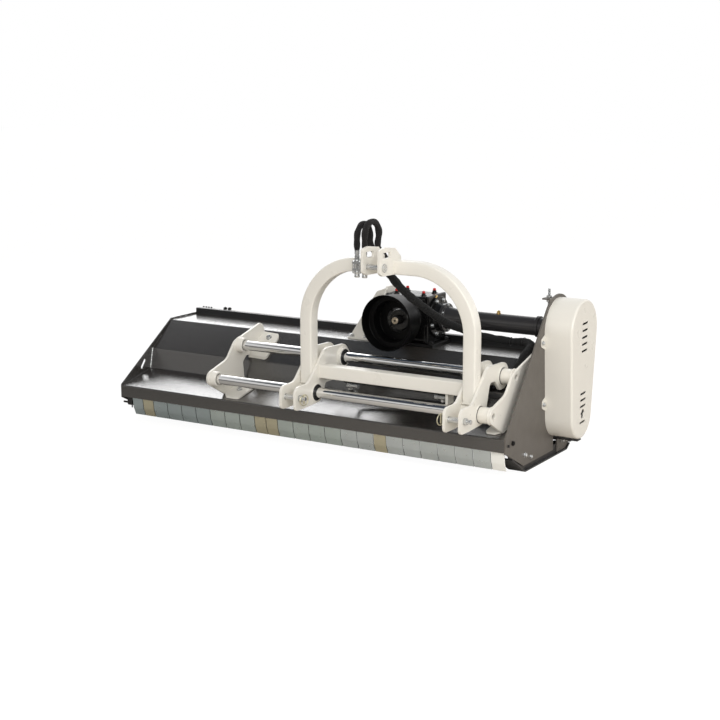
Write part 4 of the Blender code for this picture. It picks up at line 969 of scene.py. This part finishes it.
for side, name in SIDES:
    x = CARRIAGE_X + side * HALF_SPREAD
    shank = turned(rows(
        "-42.8 0, -42.8 12.5, -41.8 14, -36.8 14, -35.8 12.8, -35.8 11, -24 11, -23.2 10.4, 22.5 10.4, 23.5 11, "
        "46 11, 46 7.8, 61 7.8, 61.8 7, 61.8 0"), at(x, *PIN), steps=40)
    head = copies(nut, [(x + 36, *PIN, 1.35)], "X")
    fit(name + "_hitch_pin_set", [shank, head], bolt_zinc, name + "_hitch_pin", body="carriage")
    place = at(x - 56 * side, PIN[0] - 2, PIN[1])
    clip = tube([place + Vector((0.2 * u, u, v - 4)) * MM for u, v in around(40, 20)], 2.1, closed=True)
    fit(name + "_linch_pin", [clip, rod(-18, 18, 3, place, "Z", 16, 0.8)], yellow_zinc, body="carriage",
        slot_name="zinc")

fit("pin", turned(rows(
    "-53.3 0, -53.3 5.5, -52.3 6.5, -41.3 6.5, -39.3 9.5, 39.3 9.5, 39.3 14.8, 40 15.5, 42.6 15.5, 43.3 14.8, "
    "43.3 10, 42.6 9.4, 42.6 6, 43.3 5.4, 43.3 0"),
    at(CARRIAGE_X, *TOP_PIN), steps=40), bolt_zinc, "top_link_pin", body="carriage")


# Power take-off: shield, shaft and gearbox

cx, cy, cz = 275, DRIVE_Y, DRIVE_Z
fit("shield", turned(rows(
    "189 104.5, 189 107, 190 108, 194.5 108, 196 107.2, 270 101.3, 276 100, 281.5 97.5, 284 94, 284 47.5, 283.5 47, "
    "280.5 47, 280 47.5, 280 77, 278 79, 234 80.2, 232.5 81.5, 231.5 97.5, 230 99.2, 228 99.7, 189 104.5"),
    at(cx, 0, cz), "Y", 96), shield_black, "pto_shield")

points = []
for k in range(6):
    for share, radius in rows("-0.3 14.8, -0.22 17.4, -0.1 17.7, 0.1 17.7, 0.22 17.4, 0.3 14.8"):
        u, v = around(6, radius, k + share)[0]
        points.append((cx + u, cz + v))
fit("input_splines", soften(prism(points, 261, 334.5, "Y"), 0.6), iron, "pto_input_shaft", body="pto_shaft",
    slot_name="steel")
fit("input_shaft_end", turned(rows(
    "256 4.6, 255 5.6, 255 12.2, 256.2 13.6, 261.5 14.2, 261.5 4.6, 256 4.6"),
    at(cx, 0, cz), "Y", 40), oiled_steel, "pto_input_shaft", body="pto_shaft")
bolts("shield_screw", [(248.5, 315, cz - 34.5, 0.8)], "-Y")

base = ROOF_Z + GAP
parts = [block((186, 351, base + 10.8), (364, 494, 572), 16, 4)]
for x0, x1 in ((179.5, 197.5), (352.5, 370)):
    parts.append(block((x0, 349, base + 10.8), (x1, 496, 574.5), 6))
for z in range(420, 529, 36):
    parts += [block((192, y, z), (358, y + 4.5, z + 6), 1.5, 2) for y in (348.5, 492)]
parts.append(turned(rows("174.5 0, 174.5 80, 176 82, 186.5 82, 188 80, 188 66, 196 60, 196 0"),
                    at(0, cy, cz), steps=72))
parts.append(turned(rows(
    "356 0, 356 60, 360 68, 360 80, 361.5 82, 368 82, 369 80.5, 370 79, 371 80.5, 376.5 80.5, 378 79, 378.5 56, "
    "382 53, 390 50, 398.5 48, 399.7 46.5, 399.7 19, 385 19, 385 0"), at(0, cy, cz), steps=96))
parts.append(turned(rows(
    "290 18.6, 290.5 39, 292 40, 316 45, 318 48, 323 74, 324.5 76, 333 76, 334.5 74.5, 335 70, 350 68, 352 0"),
    at(cx, 0, cz), "Y", 72))
pillars = [(x, y) for x in (215, 335) for y in (375, 462)]
parts += [turned(rows("566 0, 566 13.5, 573.5 12.5, 575 11.5, 575 0"), at(x, y, 0), "Z", 32)
          for x, y in pillars]
fit("gearbox", parts, casting, "gearbox_housing")
bolts("gearbox_studs", [(*place, 575, 0.86) for place in pillars], surface=iron)
cap = turned(rows("0 0, 0 6.2, 5.6 6, 7.4 4.6, 8 2.2, 8 0"), Vector(), "Z", 24)
fit("stud_caps", copies(cap, [(*place, 583.5, 1) for place in pillars]), red_cap)
bpy.data.objects.remove(cap)
bolts("flange_bolts", [(378.2, cy + u, cz + v, 0.8) for u, v in around(8, 67.5, 0.5)], "X")
bolts("input_bolts", [(cx + u, 324, cz + v, 0.72) for u, v in around(6, 60, 0.5)], "-Y", iron)
bolts("oil_plug", [(365.5, 412, 564, 1)], "X", brass)

fit("gearbox_sill", block((175.5, 345, base), (392, 496, base + 10), 1.2, 2), iron, "gearbox_pedestal")
pedestal = [
    block((60, 345, base), (175, 496, base + 10), 1.2, 2),
    plate([(352, base + 4, 0), (352, 560, 20), (380, 596, 12), (470, 596, 14), (485, 560, 20), (485, base + 4, 0)],
          164, 174, step=8, edge=1.4),
    plate([(12, base + 1, 0), (16, base + 22, 10), (130, 575, 20), (174, 592, 6), (174, base + 1, 0)],
          366, 376, "Y", step=8, edge=1.4),
    block((8, 345.5, base), (100, 420, base + 8), 1.2, 2),
    seam([at(18, 365, base + 9), at(160, 365, base + 11)], 3),
    seam([at(163.2, 356, base + 11), at(163.2, 482, base + 11)], 3),
]
fit("pedestal", pedestal, cream, "gearbox_pedestal")
bolts("pedestal_bolts", [(20, 357, base + 8, 1.15), (88, 356, base + 10, 1.15)])
bolts("sill_bolts", [(x, y, base + 10, 1.15) for x, y in ((378, 358), (378, 482), (80, 482))], surface=iron)


# Drive tube, belt drive and its cover

start, end = 400.3, 868.7
fit("drive_tube", turned([
    (start, 24), (start, 54.5), (start + 1.2, 56), (start + 12.8, 56), (start + 14, 54.8), (start + 14.5, 46),
    (start + 16, 44), (start + 58, 35.2), (start + 62, 34.5), (792, 34.5), (792.2, 39), (793.2, 40), (804.8, 40),
    (805.8, 39), (806, 34.5), (end - 10.2, 34.5), (end - 10, 50.5), (end - 8.8, 52), (end, 52), (end, 24),
    (start, 24),
], at(0, DRIVE_Y, DRIVE_Z), steps=96), tube_black, "drive_shaft_tube")
fit("grease_nipple", turned(rows(
    "32.5 0, 32.5 8.5, 38 8.5, 38.4 6.2, 41 6, 41.4 7, 44 7, 45.8 4.5, 47.2 1.8, 47.4 0"),
    at(631, DRIVE_Y, DRIVE_Z), "Z", 24), brass)
bolts("tube_bolts", [(start + 14.2, DRIVE_Y + u, DRIVE_Z + v, 0.5) for u, v in around(6, 50, 0.5)], "X")

for name, surface in (("drive_shaft", steel), ("drive_belt", rubber), ("rotor_pulley", steel)):
    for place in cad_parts[name].material_slots:
        place.material = surface

# The cover: two round ends joined by straight runs, round both pulleys
COVER, COVER_R = 984, (118, 90)
reach = Vector((DRIVE_Y - ROTOR_Y, DRIVE_Z - ROTOR_Z))
lean = asin((COVER_R[0] - COVER_R[1]) / reach.length)
turn = atan2(reach.y, reach.x)
sweeps = ((DRIVE_Y, DRIVE_Z, COVER_R[0], turn - QUARTER - lean, turn + QUARTER + lean),
          (ROTOR_Y, ROTOR_Z, COVER_R[1], turn + QUARTER + lean, turn + 3 * QUARTER - lean))
line = [(y + radius * cos(a), z + radius * sin(a)) for y, z, radius, start, end in sweeps
        for a in (start + (end - start) * k / 40 for k in range(41))]
cover = take(prism(line, HALF_WIDTH + GAP, COVER))
reshape()
rim = at(COVER - 0.5, 0, 0).x
choose(cover, lambda edge: all(v.co.x > rim for v in edge.verts), "EDGE")
edit.bevel(offset=0.0085, segments=6, affect="EDGES")
choose(cover, lambda face: face.normal.x < -0.9)
edit.delete(type="FACE")
modify(settle(), "SOLIDIFY", thickness=0.0025, offset=-1)
openings = [slot(427, 517 - 25.5 * k, 51, 8.4, 3) for k in range(5)]
openings += [slot(425.5, z, 51, 8.4, 3) for z in (254, 230, 206, 145)]
openings.append(outline(rows("414 160 4, 414 176 2, 404 176 1, 428 197 3, 443 182 1, 432 177 2, 430 160 4"), 30))
for line in openings:
    carve(cover, prism(line, COVER - 20, COVER + 20))
modify(smooth(cover, 40), "WEIGHTED_NORMAL", weight=100, keep_sharp=True)
lugs = ((288.5, 455), (308.5, 221))
tabs = [plate([(y + 40, z + 36, 0), (y - 10, z + 14, 8), (y - 10, z - 14, 8), (y + 40, z - 36, 0)],
              HALF_WIDTH + GAP, HALF_WIDTH + GAP + 3, edge=0.6, holes=[(y, z, 5)]) for y, z in lugs]
fit("cover", [cover, *tabs], cream, "belt_cover")
bolts("cover_bolts", [(HALF_WIDTH + 3.3, *place, 0.85) for place in lugs], "X")


# Side-shift cylinder

y, z = 85, 288
barrel = turned(rows(
    "580 0, 580 12.8, 160 12.8, 160 22, 161.5 23.5, 186 23.5, 186.5 22.2, 584 22.2, 584.5 23.5, 608.5 23.5, 610 22, "
    "614 12, 831.5 12, 832.7 11, 832.7 0"), at(0, y, z), steps=64)
ports = [turned(rows("-36 0, -36 8.2, -35.2 9, -18 9, -18 0"), at(x, y, z), "Z", 32) for x in (182, 580)]
fit("barrel", [barrel, *ports], black, "cylinder_barrel")
elbows = [turned(rows(
    "-2 0, -2 9.2, -1 10, 9 10, 10 9.2, 10.2 8, 40 8, 40.2 9.2, 44 9.2, 44.2 0"),
    at(x, y - 22, z - 26)) for x in (186, 560)]
fit("port_elbows", elbows, bolt_zinc)
fit("piston_rod", rod(LEFT_FOOT + 35.8, 200, 12.5, at(0, y, z), steps=64), chrome, "cylinder_rod", body="carriage")


# Rotor with its flails

reach = INNER_HALF - 12
rim = [(reach, 25), (reach, 75.8), (reach - 1.2, 77), (reach - 6.8, 77), (reach - 8, 75.8), (reach - 8.2, 57)]
spindle = turned([
    (-reach - 26, 0), (-reach - 26, 23.8), (-reach - 24.8, 25), *((-a, r) for a, r in rim), *rim[::-1],
    (966.8, 25), (968, 23.8), (968, 0)], at(0, ROTOR_Y, ROTOR_Z), steps=72)
hammer_line = rows("-12 88 6, -10 112 6, -16 144 4, 22 146 10, 14 112 10, 12 88 6")
lug_line = [(-20, 50, 0), (-12, 100, 11), (12, 100, 11), (20, 50, 0)]
station = shift(join(
    plate(hammer_line, -22, 22, edge=2, step=15),
    *(plate(lug_line, a, a + 5, step=15) for a in (-28, 23)),
    rod(-31, 31, 6, at(0, 0, 90), steps=20), rod(-34, -30.5, 9.5, at(0, 0, 90), steps=6),
    *(seam([at(a, u, 58.5) for u in (-19, 19)], 3) for a in (-29, 29)),
), -LAYOUT)
STATIONS, ROTOR_RUN = 14, 1620
stations = [copy_of(station, Matrix.Translation(at(ROTOR_RUN * ((k + 0.5) / STATIONS - 0.5), ROTOR_Y, ROTOR_Z))
                    @ Matrix.Rotation(tau * (k % 4) / 4 + k * 0.09, 4, "X")) for k in range(STATIONS)]
bpy.data.objects.remove(station)
fit("flail_rotor", [spindle, *stations], black, "rotor", body="rotor")


# Rear roller

rim = rows("867 0, 867 13, 866 14, 845 14, 843 30, 843 66, 845 67, 845 69, 844 70")
roller = turned([*((-a, r) for a, r in rim), *rim[::-1]], at(0, *ROLLER), steps=96)
fit("roller", roller, black, "rear_roller", body="rear_roller")
arm_line = rows("610 50 20, 585 150 15, 600 232 10, 640 232 10, 672 150 15, 694 90 20, 685 45 20")
for side, name in SIDES:
    arm = plate(arm_line, *sorted((side * (INNER_HALF - 10), side * INNER_HALF)), edge=1.2, holes=[(*ROLLER, 14.5)])
    fit(name + "_arm", arm, dark_grey, name + "_roller_arm")


# Floor, light and world

deselect()
edit.primitive_plane_add(size=40, location=(0, 0, 0))
floor = bpy.context.object
floor.name = "floor"
pale = finish("pale_floor", (0.26, 0.25, 0.235), 0.9)
# The floor is painted dark at the left and pale toward the right: painted shade, for studio light that falls off to
# the left.
place = node(pale, "TexCoord").outputs["Object"]
sides = node(pale, "SeparateXYZ", {0: place})
shade(pale, spread(pale, sides.outputs["X"], 0.0, 1.0, -1.7, 0.7), (0.66, 0.61, 0.55))
ray = node(pale, "LightPath").outputs["Is Camera Ray"]
share = node(pale, "Math", {0: ray, 1: 0.8}, operation="MULTIPLY").outputs["Value"]
mix = node(pale, "MixShader", {
    "Fac": share, 1: pale.node_tree.nodes["Principled BSDF"].outputs["BSDF"],
    2: node(pale, "Emission", {"Strength": 1.2}).outputs["Emission"]})
wire(pale, mix.outputs["Shader"], pale.node_tree.nodes["Material Output"].inputs["Surface"])
floor.data.materials.append(pale)

# What polished parts see round them: a bright back wall, a dim ceiling, and in front a pale
# screen between a dark edge near the floor and a dark upper wall
studio = bpy.data.worlds.new("studio")
bpy.context.scene.world = studio
studio.use_nodes = True
ray = node(studio, "LightPath").outputs
direction = node(studio, "TexCoord").outputs["Generated"]
parts = node(studio, "SeparateXYZ", {0: direction}).outputs


def walls(name, *stops):
    """Colours of one side of the room by height, from the floor's edge up to overhead."""
    made = node(studio, "ValToRGB", {"Fac": parts["Z"]}, name=name)
    ramp = made.color_ramp.elements
    while len(ramp) < len(stops):
        ramp.new(0.5)
    for stop, (height, colour) in zip(ramp, stops):
        stop.position, stop.color = height, (*(colour if isinstance(colour, tuple) else (colour,) * 3), 1)
    return made.outputs["Color"]


def either(factor, low, high):
    """One colour or the other, by the factor."""
    return node(studio, "Mix", {"Factor": factor, 6: low, 7: high}, data_type="RGBA").outputs[2]


ceiling = (0.68, 1), (0.8, (0.14, 0.17, 0.2)), (1.0, (0.12, 0.14, 0.17))
front_wall = walls("front_wall", (0.0, 0.1), (0.07, 0.1), (0.15, (0.75, 0.74, 0.72)), (0.5, 0.75),
                   (0.62, (0.05, 0.055, 0.06)), (0.78, (0.06, 0.07, 0.09)))
back_right = walls("back_right", (0.0, 1), (0.13, 1), (0.155, 2), (0.195, 2), (0.215, 1), *ceiling)
back_left = walls("back_left", (0.0, 1), (0.1, 1.5), (0.145, 5), (0.19, 5), (0.215, 1), *ceiling)
backward = node(studio, "VectorMath", {0: direction, 1: (-0.35, 0.94, 0.0)}, operation="DOT_PRODUCT")
back_wall = either(spread(studio, parts["X"], 1.0, 0.0, -0.6, -0.5), back_right, back_left)
room = either(spread(studio, backward.outputs["Value"], 0.0, 1.0, 0.05, 0.45), front_wall, back_wall)
seen = either(ray["Is Camera Ray"], either(ray["Is Glossy Ray"], (0.66, 0.66, 0.66, 1), room), (1, 1, 1, 1))
wire(studio, seen, studio.node_tree.nodes["Background"].inputs["Color"])

for name, place, size, power in (
    ("key_light", (2.7, -3.8, 2.6), 3.0, 112), ("back_light", (-2.75, 2.8, 2.9), 2.3, 52),
    ("side_light", (4.6, -0.6, 2.4), 2.5, 46),
):
    bpy.ops.object.light_add(type="AREA", location=place)
    lamp = bpy.context.object
    lamp.name = name
    lamp.data.size, lamp.data.energy = size, power
    lamp.visible_camera = False
    lamp.rotation_euler = (Vector((0, 0, 0.4)) - Vector(place)).to_track_quat("-Z", "Y").to_euler()
bpy.context.scene.view_settings.view_transform = "Standard"

for pattern in (bolt, nut, thread):
    bpy.data.objects.remove(pattern)
